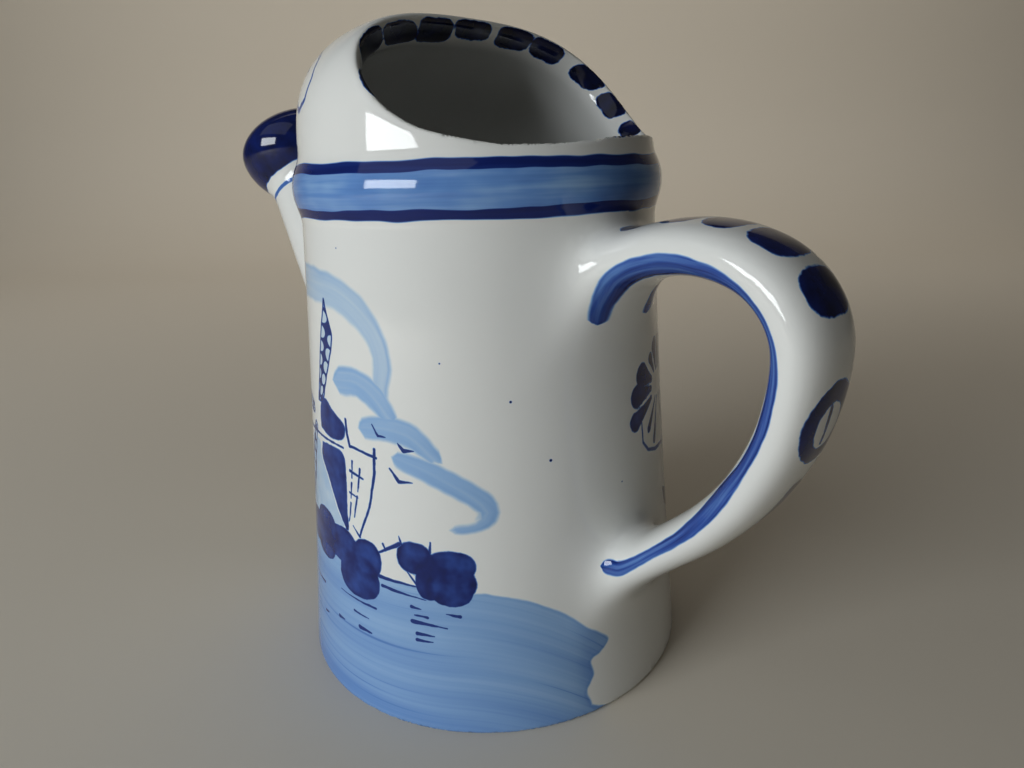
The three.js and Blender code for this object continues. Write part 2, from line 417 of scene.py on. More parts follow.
@dataclass(frozen=True)
class Clay:
    """The whole jug as one field."""

    body: Body = Body()
    mouth: Mouth = Mouth()
    handle: Handle = Handle()
    spout: Spout = Spout()
    hollow_join: float = 3.0
    edge_rounding: float = 0.8
    longest_step: float = 0.5
    flattest: float = 0.05

    def field(self, x: Field, y: Field, z: Field) -> Field:
        """Signed distance to the clay's surface, in millimetres.

        Args:
            x: Places along the jug.
            y: Places across it.
            z: Heights.

        Returns:
            Distances, negative inside the clay.
        """
        r = np.hypot(x, y)
        turned = self.body.outside(r, z)
        outside = smooth_union(turned, self.handle.field(x, y, z), self.handle.join)
        outside = smooth_union(outside, self.spout.outside(x, y, z), self.spout.join)
        hollow = smooth_union(self.body.hollow(r, z), self.spout.passage(x, y, z), self.hollow_join)
        clay = smooth_cut(outside, -hollow, self.edge_rounding)
        return smooth_cut(clay, self.mouth.cut(x, y, z, turned), self.mouth.crest_rounding)

    def slope(self, spots: np.ndarray, reach: float = 0.2) -> np.ndarray:
        """Gradient of the field at scattered spots.

        Args:
            spots: Rows of x, y and z, in millimetres.
            reach: Step to each side over which the slope is measured.

        Returns:
            A row of the slope along x, y and z for each spot.
        """
        columns = []
        for axis in range(3):
            step = np.zeros(3)
            step[axis] = reach
            ahead = self.field(*(spots + step).T)
            behind = self.field(*(spots - step).T)
            columns.append((ahead - behind) / (2.0 * reach))
        return np.stack(columns, 1)

    def settle(self, spots: np.ndarray, rounds: int) -> np.ndarray:
        """Move spots straight onto the clay's surface.

        Args:
            spots: Rows of x, y and z near the surface.
            rounds: How many times the move is repeated.

        Returns:
            The moved spots.
        """
        for _ in range(rounds):
            slope = self.slope(spots)
            size = np.maximum((slope**2).sum(1), self.flattest)
            step = self.field(*spots.T) / size
            spots = spots - np.clip(step, -self.longest_step, self.longest_step)[:, None] * slope
        return spots


@dataclass(frozen=True)
class Net:
    """Cuts a closed mesh of quads from a field, on a grid that is finer round the lip."""

    step: float = 1.6
    fine_step: float = 1.3
    fine_from: float = 88.0
    x_span: tuple[float, float] = (-75.0, 89.0)
    y_span: tuple[float, float] = (-42.0, 42.1)
    top: float = 127.0

    def lines(self) -> tuple[np.ndarray, np.ndarray, np.ndarray]:
        """Space the grid.

        Returns:
            Grid lines along x, y and z, in millimetres.
        """
        x = np.arange(*self.x_span, self.step)
        y = np.arange(*self.y_span, self.step)
        z = np.concatenate([np.arange(-2.0 * self.step, self.fine_from, self.step),
                            np.arange(self.fine_from, self.top, self.fine_step)])
        return x, y, z

    def cut(self, clay: Clay) -> tuple[np.ndarray, np.ndarray]:
        """Cut the mesh.

        Args:
            clay: The jug's field.

        Returns:
            Vertex places in millimetres, and quads of vertex numbers facing outwards.
        """
        lines = self.lines()
        x, y, z = np.meshgrid(*lines, indexing="ij", sparse=True)
        field = clay.field(x, y, z)
        inside = field < 0.0
        corners = [(i, j, k) for i in (0, 1) for j in (0, 1) for k in (0, 1)]
        counts = sum(inside[tuple(slice(c, n - 1 + c) for c, n in zip(corner, inside.shape))].astype(int)
                     for corner in corners)
        cells = np.argwhere((counts > 0) & (counts < 8))
        names = np.full(counts.shape, -1)
        names[tuple(cells.T)] = np.arange(len(cells))
        return self.middles(field, lines, cells, corners), self.quads(inside, names)

    @staticmethod
    def middles(field: Field, lines: Sequence[np.ndarray], cells: np.ndarray,
                corners: Sequence[tuple[int, int, int]]) -> np.ndarray:
        """Mean of the places where the surface crosses each cell's edges.

        Args:
            field: The clay's field on the grid.
            lines: Grid lines along x, y and z.
            cells: Numbers of the cells that the surface crosses.
            corners: Steps from a cell to its eight corners.

        Returns:
            One place for each cell.
        """
        total = np.zeros((len(cells), 3))
        hits = np.zeros(len(cells))
        for low in corners:
            for axis in range(3):
                if low[axis]:
                    continue
                high = tuple(1 if i == axis else c for i, c in enumerate(low))
                a = field[tuple((cells + low).T)]
                b = field[tuple((cells + high).T)]
                crossed = (a < 0.0) != (b < 0.0)
                share = np.where(crossed, a / np.where(crossed, a - b, 1.0), 0.0)
                start = np.stack([line[cells[:, i] + low[i]] for i, line in enumerate(lines)], 1)
                end = np.stack([line[cells[:, i] + high[i]] for i, line in enumerate(lines)], 1)
                total += np.where(crossed[:, None], start + (end - start) * share[:, None], 0.0)
                hits += crossed
        return total / hits[:, None]

    @staticmethod
    def quads(inside: np.ndarray, names: np.ndarray) -> np.ndarray:
        """Quads across every grid edge that the surface crosses.

        Args:
            inside: True where a grid point lies in the clay.
            names: The vertex number of each cell.

        Returns:
            Rows of four vertex numbers, facing outwards.
        """
        found = []
        for axis in range(3):
            order = (axis, (axis + 1) % 3, (axis + 2) % 3)
            solid, cell = inside.transpose(order), names.transpose(order)
            i, j, k = np.nonzero(solid[:-1, 1:-1, 1:-1] != solid[1:, 1:-1, 1:-1])
            j, k = j + 1, k + 1
            quad = np.stack([cell[i, j - 1, k - 1], cell[i, j, k - 1], cell[i, j, k], cell[i, j - 1, k]], 1)
            flipped = ~solid[i, j, k]
            quad[flipped] = quad[flipped][:, ::-1]
            found.append(quad)
        return np.concatenate(found)


def relax(spots: np.ndarray, quads: np.ndarray, share: float = 0.5) -> np.ndarray:
    """Move each vertex towards the mean of its neighbours, which evens out the quads.

    Args:
        spots: Rows of x, y and z, in millimetres.
        quads: Rows of four vertex numbers.
        share: How far each vertex goes towards the mean.

    Returns:
        The moved spots.
    """
    total = np.zeros_like(spots)
    hits = np.zeros(len(spots))
    for side in range(4):
        for other in (1, 3):
            near = quads[:, (side + other) % 4]
            np.add.at(total, quads[:, side], spots[near])
            np.add.at(hits, quads[:, side], 1.0)
    return spots + share * (total / hits[:, None] - spots)


def refine(spots: np.ndarray, faces: list[list[int]],
           chosen: np.ndarray) -> tuple[np.ndarray, list[list[int]]]:
    """Split some quads in four, and give their neighbours the new points on shared edges.

    Args:
        spots: Rows of x, y and z.
        faces: Lists of vertex numbers.
        chosen: True for each face that is split, if it is a quad.

    Returns:
        The spots with the new ones at the end, and the new faces.
    """
    places = list(spots)
    halves: dict[tuple[int, int], int] = {}
    split = [len(face) == 4 and picked for face, picked in zip(faces, chosen)]
    for face, picked in zip(faces, split):
        if not picked:
            continue
        for a, b in zip(face, face[1:] + face[:1]):
            if (min(a, b), max(a, b)) not in halves:
                halves[min(a, b), max(a, b)] = len(places)
                places.append((places[a] + places[b]) / 2.0)
    result = []
    for face, picked in zip(faces, split):
        middles = [halves.get((min(a, b), max(a, b))) for a, b in zip(face, face[1:] + face[:1])]
        if picked:
            centre = len(places)
            places.append(sum(places[a] for a in face) / 4.0)
            result += [[face[i], middles[i], centre, middles[i - 1]] for i in range(4)]
        else:
            result.append([spot for pair in zip(face, middles) for spot in pair if spot is not None])
    return np.array(places), result


class Side(Enum):
    """The two painted sides of the wall, each with the turn that its middle faces."""

    MILL = math.radians(90.0)
    FLOWERS = math.radians(-90.0)


class Region(Enum):
    """Parts of the surface that are painted alike; where two meet, the later one holds both."""

    PLAIN = 0
    SKY = 1
    WATER = 2
    SCENE = 3
    FLOWERS = 4
    BAND = 5
    LIP = 6
    HANDLE = 7
    SPOUT = 8


@dataclass(frozen=True)
class Layout:
    """Lays the wall out flat: millimetres round it from a side's middle, and the height."""

    radius: float = 36.5

    def spread(self, side: Side, x: Field, y: Field) -> Field:
        """Place of points round the wall, growing anticlockwise from above."""
        c, s = math.cos(side.value), math.sin(side.value)
        return self.radius * np.arctan2(c * y - s * x, c * x + s * y)


@dataclass(frozen=True)
class Stroke:
    """One stroke of the brush: places on the flat layout, each with the brush's half width."""

    path: Points

    def measure(self, a: Field, b: Field) -> tuple[Field, Field, Field]:
        """Measure points against the stroke.

        Args:
            a: First coordinate of the points.
            b: Second coordinate.

        Returns:
            Offset to the left that the stroke still covers, run along it, and offset to its left.
        """
        curve = Curve(self.path, 8)
        run, left, past = curve.nearest(a, b)
        half = np.interp(run, curve.runs, curve.places[:, 2])
        cover = np.sqrt(np.maximum(half**2 - past**2, 0.0)) - np.maximum(past - half, 0.0)
        return cover, run, left

    def field(self, a: Field, b: Field) -> Field:
        """Distance outside the stroke's edge."""
        cover, _, left = self.measure(a, b)
        return np.abs(left) - cover


@dataclass(frozen=True)
class Patch:
    """A filled shape with a soft hand-drawn outline."""

    outline: Points

    def field(self, a: Field, b: Field) -> Field:
        """Measure points against the outline.

        Args:
            a: First coordinate of the points.
            b: Second coordinate.

        Returns:
            Distances to the outline, negative inside.
        """
        curve = Curve(tuple(self.outline) + (self.outline[0],), 6)
        run, left, past = curve.nearest(a, b)
        inside = np.zeros(a.shape, bool)
        for start, end in zip(curve.places[:-1], curve.places[1:]):
            spans = (start[1] > b) != (end[1] > b)
            rise = end[1] - start[1] if end[1] != start[1] else 1.0
            inside ^= spans & (a < start[0] + (b - start[1]) * (end[0] - start[0]) / rise)
        return np.where(inside, -1.0, 1.0) * np.hypot(left, past)


def blot(a: Field, b: Field, middle: tuple[float, float], half: tuple[float, float],
         power: float = 2.0) -> Field:
    """Field of an oval blot of paint."""
    return oval_field([(a - middle[0], half[0]), (b - middle[1], half[1])], power)


@dataclass(frozen=True)
class MillPainting:
    """The broad strokes of the side with the mill, in millimetres on the flat layout."""

    cloud: Sequence[Stroke] = (
        Stroke(((-44, 66.0, 1.2), (-38, 71.5, 2.2), (-29, 76.2, 2.9), (-20, 78.2, 3.1), (-10, 78.9, 3.1),
                (0, 78.3, 3.0), (5, 77.0, 2.9), (9, 74.7, 2.6), (12, 71.3, 2.1), (13.2, 67.5, 1.9),
                (12.9, 64.5, 1.9), (12.3, 61.5, 1.9), (13.5, 58.5, 1.6))),
        Stroke(((3.0, 62.9, 2.6), (7.0, 63.2, 2.5), (11.0, 61.5, 2.4), (14.2, 58.3, 1.7))),
        Stroke(((9.0, 55.5, 1.9), (13.0, 56.0, 2.2), (18.0, 55.4, 2.2), (22.5, 52.0, 1.4))),
        Stroke(((16.2, 50.8, 1.6), (21.0, 49.4, 2.0), (27.0, 46.5, 2.0), (30.8, 43.8, 1.8),
                (31.4, 41.6, 1.4), (29.0, 39.8, 0.9), (25.2, 39.3, 0.6))))
    cloud_tones: Sequence[float] = (0.6, 0.95, 1.0, 1.05)
    wash: Patch = Patch(((-66, -4), (-64, 9), (-58, 16), (-46, 22), (-30, 26.5), (-12, 28.5), (8, 28.6),
                         (20, 28.2), (28.5, 27.7), (33, 27.0), (38, 25.3), (43, 22.3), (47, 18.5),
                         (51, 15.3), (51.8, 13.6), (49.8, 12.0), (48.0, 10.8), (48.4, 8.0), (46.9, 5.0),
                         (47.7, 2.0), (47.9, -4.0)))
    cap: Patch = Patch(((-6.2, 52.3), (-6.3, 55.5), (-5.2, 57.8), (-3.2, 58.4), (-0.8, 57.0), (1.6, 55.9),
                        (3.4, 54.6), (3.0, 52.6), (1.2, 51.6), (-2.5, 51.5)))
    tower: Patch = Patch(((-5.8, 49.5), (-2.0, 49.9), (2.4, 49.5), (3.2, 45.0), (3.2, 39.0), (3.4, 35.4),
                          (2.4, 35.2), (0.2, 38.0), (-3.5, 43.5), (-6.2, 46.6)))
    shade: Patch = Patch(((-13.5, 49.2), (-7.2, 49.4), (-6.6, 46.5), (-3.6, 43.2), (0.0, 37.8), (2.0, 35.0),
                          (-5.0, 33.0), (-15.5, 34.0)))
    sails: Sequence[Patch] = (
        Patch(((-7.2, 57.2), (-5.7, 64.0), (-4.4, 70.0), (-3.2, 74.0), (-2.2, 76.9), (-1.0, 74.0),
               (0.5, 70.2), (-0.8, 66.0), (-3.0, 61.0), (-4.6, 57.6))),
        Patch(((-10.5, 55.9), (-17.0, 58.2), (-23.0, 60.3), (-29.0, 60.6), (-24.5, 56.3), (-17.5, 54.6),
               (-10.8, 53.7))),
        Patch(((-8.4, 51.8), (-10.4, 45.5), (-12.6, 38.2), (-16.4, 34.6), (-16.0, 40.0), (-13.2, 46.5),
               (-10.3, 52.4))))
    bushes: Sequence[tuple[tuple[float, float], tuple[float, float]]] = (
        ((5.6, 26.4), (5.3, 4.0)), ((8.0, 31.0), (3.4, 3.6)), ((1.0, 31.4), (4.6, 3.6)),
        ((-5.5, 33.0), (4.6, 3.4)), ((-11.5, 30.6), (4.2, 3.4)), ((-6.0, 28.8), (4.4, 2.9)),
        ((-17.0, 31.2), (3.4, 2.7)), ((18.0, 33.4), (3.3, 3.0)), ((24.6, 32.6), (4.2, 2.8)),
        ((20.6, 29.2), (2.5, 3.4)), ((24.4, 28.3), (3.8, 3.3)), ((27.2, 29.4), (1.6, 2.2)))
    bush_power: float = 2.3

    def ink(self, u: Field, v: Field) -> Field:
        """Field of everything that is filled in with the thickest paint.

        Args:
            u: Place round the wall from the mill side's middle.
            v: Heights.

        Returns:
            Distances, negative in the paint.
        """
        shapes = [blot(u, v, middle, half, self.bush_power) for middle, half in self.bushes]
        shapes += [self.cap.field(u, v), self.tower.field(u, v)]
        return np.minimum.reduce(shapes)

    def lobes(self, u: Field, v: Field) -> Field:
        """Distance to the nearest outline of a bush's lobe, also where that lobe lies over another."""
        outlines = [np.abs(blot(u, v, middle, half, self.bush_power)) for middle, half in self.bushes]
        return np.minimum.reduce(outlines)


@dataclass(frozen=True)
class FlowerPainting:
    """The strokes of the side with the flowers."""

    blooms: Sequence[tuple[tuple[float, float], float]] = (
        ((-41.0, 57.2), 1.0), ((0.0, 63.0), 0.95), ((33.0, 52.5), 0.8))
    petal_root: float = 0.28
    petal_widening: float = 0.72
    petal_swell: float = 1.3
    petals: Sequence[tuple[float, float, float, float]] = (
        (158, 4.6, 11.6, 2.5), (180, 4.6, 13.0, 2.2), (201, 5.0, 14.4, 1.9),
        (22, 4.6, 11.6, 2.5), (0, 4.6, 13.0, 2.2), (-21, 5.0, 14.4, 1.9),
        (128, 3.6, 8.4, 1.1), (52, 3.6, 8.4, 1.1), (104, 3.2, 9.6, 1.7), (76, 3.2, 9.6, 1.7))
    hearts: Sequence[tuple[float, float, float, float]] = (
        (229, 3.0, 10.6, 0.8), (250, 2.6, 11.8, 0.7), (290, 2.6, 11.8, 0.7), (311, 3.0, 10.6, 0.8))
    leaves: Sequence[Stroke] = (
        Stroke(((-39.6, 34.5, 0.4), (-37.0, 31.5, 1.7), (-32.0, 30.0, 0.9), (-27.5, 31.5, 0.3))),
        Stroke(((-24.0, 40.5, 0.4), (-20.5, 37.0, 1.9), (-14.0, 36.0, 1.0), (-9.0, 38.0, 0.3))),
        Stroke(((24.0, 38.5, 0.4), (20.5, 34.5, 1.9), (14.0, 33.0, 1.0), (9.0, 34.5, 0.3))),
        Stroke(((-10.0, 21.0, 0.4), (-6.0, 17.5, 1.8), (0.0, 17.0, 1.1), (5.0, 19.5, 0.4))),
        Stroke(((-5.0, 46.0, 0.3), (-8.5, 49.0, 1.5), (-14.0, 49.0, 0.5))),
        Stroke(((5.5, 43.0, 0.3), (9.5, 45.5, 1.5), (14.0, 45.0, 0.5))))

    def ink(self, w: Field, v: Field) -> Field:
        """Field of the petals and leaves.

        Args:
            w: Place round the wall from the flower side's middle.
            v: Heights.

        Returns:
            Distances, negative in the paint.
        """
        shapes = [leaf.field(w, v) for leaf in self.leaves]
        for (middle_w, middle_v), size in self.blooms:
            for angle, near, far, half in (*self.petals, *self.hearts):
                c, s = math.cos(math.radians(angle)), math.sin(math.radians(angle))
                along = (w - middle_w) * c + (v - middle_v) * s
                across = (v - middle_v) * c - (w - middle_w) * s
                share = np.clip((along / size - near) / (far - half - near), 0.0, 1.0)
                width = half * (self.petal_root + self.petal_widening * share**self.petal_swell) * size
                spot = (near + (far - half - near) * share) * size
                shapes.append(np.hypot(along - spot, across) - width)
        return np.minimum.reduce(shapes)


@dataclass(frozen=True)
class LipPainting:
    """The row of dabs on the lip: middle and half length along the rim, and their reach across it."""

    dabs: Sequence[tuple[float, float, float, float]] = (
        (-0.7, 4.5, 0.5, 5.3), (-11.4, 4.6, 0.4, 6.0), (-20.4, 4.2, 0.5, 5.9), (-31.3, 3.6, 0.1, 5.6),
        (-39.6, 3.3, 0.1, 5.6), (-47.9, 2.8, 0.3, 5.2), (-56.5, 3.6, 0.4, 5.6), (-66.8, 3.6, 0.4, 5.6),
        (-77.2, 4.2, -0.3, 5.5), (75.6, 3.6, 0.9, 5.4), (66.0, 3.6, 1.9, 5.8), (56.6, 3.6, 1.9, 5.8),
        (47.4, 3.5, 1.4, 5.8), (38.6, 3.4, -0.2, 5.8), (27.0, 4.6, 0.3, 7.2), (17.6, 4.5, 1.5, 7.0),
        (8.5, 4.3, 1.0, 7.1))
    corner: float = 3.2
    lean: float = 0.18
    lean_turn: float = 2.4
    lean_middle: float = 3.5
    above_band: float = 2.0
    farthest: float = 60.0
    halvings: int = 30
    probe: float = 0.1

    def edge(self, clay: Clay) -> tuple[np.ndarray, np.ndarray]:
        """Turn about the mouth's middle and run along its edge, for points all round the rim.

        Args:
            clay: The jug's field.

        Returns:
            The turns in radians, and the runs in millimetres.
        """
        turns = np.radians(np.linspace(-180.0, 180.0, 361))
        near, far = np.zeros(turns.shape), np.full(turns.shape, self.farthest)
        for _ in range(self.halvings):
            middle = (near + far) / 2.0
            x, y = clay.mouth.middle + middle * np.cos(turns), middle * np.sin(turns)
            within = clay.body.skin(np.hypot(x, y), clay.mouth.height(x, y)) < 0.0
            near, far = np.where(within, middle, near), np.where(within, far, middle)
        spots = np.stack([x, y, clay.mouth.height(x, y)], 1)
        runs = np.concatenate([[0.0], np.cumsum(np.linalg.norm(np.diff(spots, axis=0), axis=1))])
        return turns, runs - np.interp(0.0, turns, runs)

    def ink(self, clay: Clay, spots: np.ndarray) -> Field:
        """Field of the dabs at spots near the lip.

        Args:
            clay: The jug's field.
            spots: Rows of x, y and z, in millimetres.

        Returns:
            Distances, negative in the paint.
        """
        x, y, z = spots.T
        turns, runs = self.edge(clay)
        r = np.maximum(np.hypot(x, y), 1e-3)
        depth = -clay.body.outside(r, z)
        above = clay.mouth.above_edge(x, y, z)
        rise = clay.body.skin(r + self.probe, z) - clay.body.skin(r - self.probe, z)
        outwards = rise / (2.0 * self.probe)
        climb = 2.0 * clay.mouth.climb * np.maximum(x - clay.mouth.level_x, 0.0)
        crest_x = x * (1.0 + depth * outwards / r) + above * climb / np.hypot(1.0, climb)
        crest_y = y * (1.0 + depth * outwards / r)
        run = np.interp(np.arctan2(crest_y, crest_x - clay.mouth.middle), turns, runs)
        turned = 1.0 - 2.0 * np.clip(depth / clay.body.wall, 0.0, 1.0)
        across = math.sqrt(2.0) * depth + turned * (above + depth)
        whole = runs[-1] - runs[0]
        shapes = []
        for i, (middle, half, low, high) in enumerate(self.dabs):
            along = (run - middle + whole / 2.0) % whole - whole / 2.0
            lean = self.lean * math.sin(self.lean_turn * i) * (across - self.lean_middle)
            place, size = (0.0, (low + high) / 2.0), (half, (high - low) / 2.0)
            shapes.append(blot(along - lean, across, place, size, self.corner))
        return np.where(z > clay.body.band_middle + self.above_band, np.minimum.reduce(shapes), CLEAR)


@dataclass(frozen=True)
class HandlePainting:
    """The stripes down the handle's inner edges and the dabs on its outer face."""

    stripe: Stroke = Stroke((
        (4.4, -5.2, 0.95), (6.5, -4.7, 1.2), (10.0, -4.1, 1.8), (13.5, -3.4, 2.1), (17.0, -2.9, 2.2),
        (21.0, -2.65, 2.2), (26.0, -2.7, 2.4), (29.0, -2.9, 2.3), (33.0, -2.7, 1.8), (40.0, -2.9, 1.3),
        (47.0, -2.8, 1.3), (53.0, -2.3, 1.4), (60.0, -2.05, 1.35), (68.0, -2.15, 1.35), (72.5, -2.4, 2.0),
        (76.0, -2.05, 1.95), (80.0, -1.5, 1.65), (87.0, -1.0, 1.3), (92.0, -0.87, 1.15), (97.0, -0.75, 1.25),
        (101.0, -0.95, 1.6), (102.6, -1.9, 1.5)))
    fold: float = 0.09
    stripe_reach: float = 7.0
    dab_reach: float = 3.5
    dab_power: float = 2.8
    sunk: float = 0.6
    dabs: Sequence[tuple[float, float, float]] = (
        (16.0, 2.6, 4.6), (22.9, 2.9, 4.8), (28.9, 2.5, 5.0), (35.5, 3.0, 5.1), (42.8, 2.9, 5.3))
    ring: tuple[float, float, float] = (58.3, 5.9, 6.0)
    ring_hole: tuple[float, float, float] = (58.6, 3.3, 3.2)
    ring_line: Stroke = Stroke(((56.0, 0.7, 0.45), (58.5, 0.4, 0.4), (61.2, 0.2, 0.3)))
    drop: Stroke = Stroke(((69.5, -0.8, 1.8), (78.0, -0.6, 2.0), (88.0, -0.4, 1.4), (96.0, -0.2, 0.4)))

    def sides(self, clay: Clay, spots: np.ndarray) -> tuple[Field, Field, Field, Field, Field]:
        """Place spots on the handle.

        Args:
            clay: The jug's field.
            spots: Rows of x, y and z.

        Returns:
            Run along the handle, turn round its section as millimetres from the side edge, offset to
            one side, offset outwards, and distance off the handle.
        """
        x, y, z = spots.T
        share, outward, past, run = clay.handle.along(x, z)
        run = np.where(share < 0.5, run - past, run + past)
        width = np.interp(share, clay.handle.stations, clay.handle.half_widths)
        depth = np.interp(share, clay.handle.stations, clay.handle.half_depths)
        turn = np.degrees(np.arctan2(outward / depth, np.abs(y) / width))
        away = (x > clay.handle.starts_at) | (clay.body.outside(np.hypot(x, y), z) < -self.sunk)
        return run, turn * self.fold, y, outward, np.where(away, FAR, clay.handle.field(x, y, z))

    def ink(self, clay: Clay, spots: np.ndarray) -> tuple[np.ndarray, Field]:
        """Measure the stripes and the dabs.

        Args:
            clay: The jug's field.
            spots: Rows of x, y and z.

        Returns:
            Rows of cover, run and offset for the stripes, and the field of the dabs.
        """
        run, fold, y, outward, gap = self.sides(clay, spots)
        cover, along, across = self.stripe.measure(run, fold)
        shapes = [blot(run, y, (middle, 0.0), (half, reach), self.dab_power)
                  for middle, half, reach in self.dabs]
        ring = np.maximum(blot(run, y, (self.ring[0], 0.0), self.ring[1:]),
                          -blot(run, y, (self.ring_hole[0], 0.0), self.ring_hole[1:]))
        shapes += [ring, self.ring_line.field(run, y), self.drop.field(run, y)]
        dabs = np.maximum(np.minimum.reduce(shapes), -outward)
        stripes = np.stack([cover - CLEAR * (gap > self.stripe_reach), along, across], 1)
        return stripes, dabs + CLEAR * (gap > self.dab_reach)


@dataclass(frozen=True)
class Linework:
    """Lines thinner than a millimetre, drawn with the tip of the brush."""

    mill: Sequence[Line] = (
        (0.3, 0.2, ((-16.0, 50.5), (-7.0, 50.7), (2.6, 50.6))),
        (0.34, 0.24, ((3.6, 56.0), (3.8, 53.4), (4.6, 51.4), (11.2, 50.6))),
        (0.36, 0.22, ((10.8, 52.0), (10.6, 48.0), (9.2, 41.2), (6.3, 34.6))),
        (0.24, 0.14, ((5.0, 48.6), (4.9, 45.6))), (0.24, 0.14, ((4.8, 44.6), (4.4, 41.6))),
        (0.24, 0.14, ((4.3, 40.6), (3.5, 36.8))), (0.26, 0.14, ((7.0, 47.6), (6.4, 43.4))),
        (0.26, 0.14, ((6.2, 42.4), (5.0, 38.0))), (0.28, 0.16, ((4.4, 46.8), (7.8, 46.0))),
        (0.24, 0.14, ((4.1, 42.6), (6.4, 42.2))),
        (0.3, 0.2, ((-17.0, 50.3), (-16.0, 44.5), (-13.5, 38.5), (-12.0, 35.0))),
        (0.14, 0.3, ((10.4, 56.4), (11.7, 54.6))), (0.3, 0.1, ((11.7, 54.6), (13.2, 54.5))),
        (0.16, 0.44, ((15.8, 53.9), (16.8, 52.7))), (0.44, 0.12, ((16.8, 52.7), (18.8, 52.8))),
        (0.16, 0.4, ((14.0, 49.2), (15.7, 47.1))), (0.4, 0.12, ((15.7, 47.1), (18.2, 47.1))),
        (0.12, 0.3, ((-20.5, 70.5), (-18.8, 68.8))), (0.3, 0.1, ((-18.8, 68.8), (-16.9, 69.4))),
        (0.12, 0.3, ((-27.0, 66.5), (-25.4, 65.0))), (0.3, 0.1, ((-25.4, 65.0), (-23.6, 65.4))),
        (0.2, 0.44, ((10.6, 32.8), (15.2, 35.5))), (0.24, 0.14, ((11.9, 34.9), (12.4, 33.6))),
        (0.14, 0.28, ((15.2, 37.0), (15.7, 35.4))), (0.14, 0.28, ((21.1, 36.7), (21.0, 35.0))),
        (0.12, 0.26, ((4.6, 36.2), (6.4, 34.6))), (0.14, 0.26, ((16.4, 31.0), (19.0, 27.6))))
    water: Sequence[Line] = (
        (0.4, 0.14, ((10.8, 28.4), (19.0, 28.0))), (0.4, 0.14, ((11.5, 26.7), (20.0, 25.8))),
        (0.36, 0.16, ((17.2, 24.0), (18.9, 23.8))), (0.16, 0.34, ((17.7, 22.5), (20.0, 22.4))),
        (0.44, 0.16, ((17.3, 21.3), (23.5, 20.8))), (0.4, 0.16, ((18.2, 19.1), (21.2, 19.0))),
        (0.4, 0.14, ((18.2, 17.9), (20.9, 17.8))), (0.14, 0.4, ((23.4, 23.5), (25.8, 23.3))),
        (0.3, 0.12, ((4.2, 19.1), (8.0, 18.9))), (0.5, 0.2, ((5.8, 16.4), (8.6, 16.2))),
        (0.4, 0.14, ((-0.6, 15.7), (1.2, 15.8))), (0.12, 0.28, ((0.2, 21.9), (9.8, 21.6))),
        (0.34, 0.14, ((-6.8, 13.5), (-5.2, 13.9))), (0.14, 0.32, ((-14.0, 19.2), (-7.0, 19.6))),
        (0.36, 0.16, ((-24.0, 27.2), (-12.0, 28.0))), (0.34, 0.14, ((-27.0, 18.5), (-22.5, 18.2))),
        (0.14, 0.36, ((-33.0, 12.4), (-29.0, 12.1))))
    flowers: Sequence[Line] = (
        (0.2, 0.4, ((-50.4, 52.2), (-50.2, 48.2), (-48.2, 45.9), (-44.7, 45.0))),
        (0.4, 0.24, ((-44.7, 45.0), (-38.6, 44.2), (-32.6, 45.0), (-28.8, 48.6))),
        (0.26, 0.4, ((-38.6, 45.0), (-36.0, 36.0), (-26.0, 27.5), (-10.0, 22.0), (0.0, 15.5))),
        (0.26, 0.42, ((0.0, 52.0), (-1.0, 36.0), (0.0, 15.5))),
        (0.24, 0.38, ((33.0, 43.0), (27.0, 33.0), (12.0, 24.0), (0.0, 15.5))),
        (0.18, 0.34, ((-9.5, 55.0), (-5.0, 51.0), (0.0, 49.8))),
        (0.34, 0.18, ((0.0, 49.8), (5.0, 51.0), (9.5, 55.0))))
    scroll: Sequence[Line] = (
        (0.3, 0.5, ((47.0, 117.2), (50.2, 115.6), (51.7, 112.4), (50.3, 109.2), (46.5, 107.6))),
        (0.5, 0.26, ((46.5, 107.6), (42.8, 109.0), (41.6, 112.0), (43.4, 114.4), (46.2, 114.0))),
        (0.4, 0.22, ((39.0, 106.4), (34.0, 108.4), (30.0, 112.2))),
        (0.5, 0.4, ((36.2, 112.6), (35.4, 113.4))))
    specks: Sequence[Line] = (
        (0.2, 0.2, ((35.6, 61.2), (35.62, 61.2))), (0.24, 0.24, ((42.1, 50.5), (42.12, 50.5))),
        (0.1, 0.1, ((3.3, 85.5), (3.32, 85.5))), (0.12, 0.12, ((57.0, 43.0), (57.02, 43.0))),
        (0.12, 0.12, ((24.0, 67.8), (24.02, 67.8))))

    @staticmethod
    def field(a: Field, b: Field, lines: Sequence[Line]) -> Field:
        """Distance outside the nearest of some lines.

        Args:
            a: First coordinate of the points.
            b: Second coordinate.
            lines: Each line's half widths and places.

        Returns:
            The distances, in millimetres.
        """
        result = np.full(a.shape, FAR)
        for start, end, path in lines:
            for (ax, ay), (bx, by) in zip(path[:-1], path[1:]):
                dx, dy = bx - ax, by - ay
                share = np.clip(((a - ax) * dx + (b - ay) * dy) / max(dx**2 + dy**2, 1e-6), 0.0, 1.0)
                gap = np.hypot(a - ax - share * dx, b - ay - share * dy)
                result = np.minimum(result, gap - max(start, end))
        return result


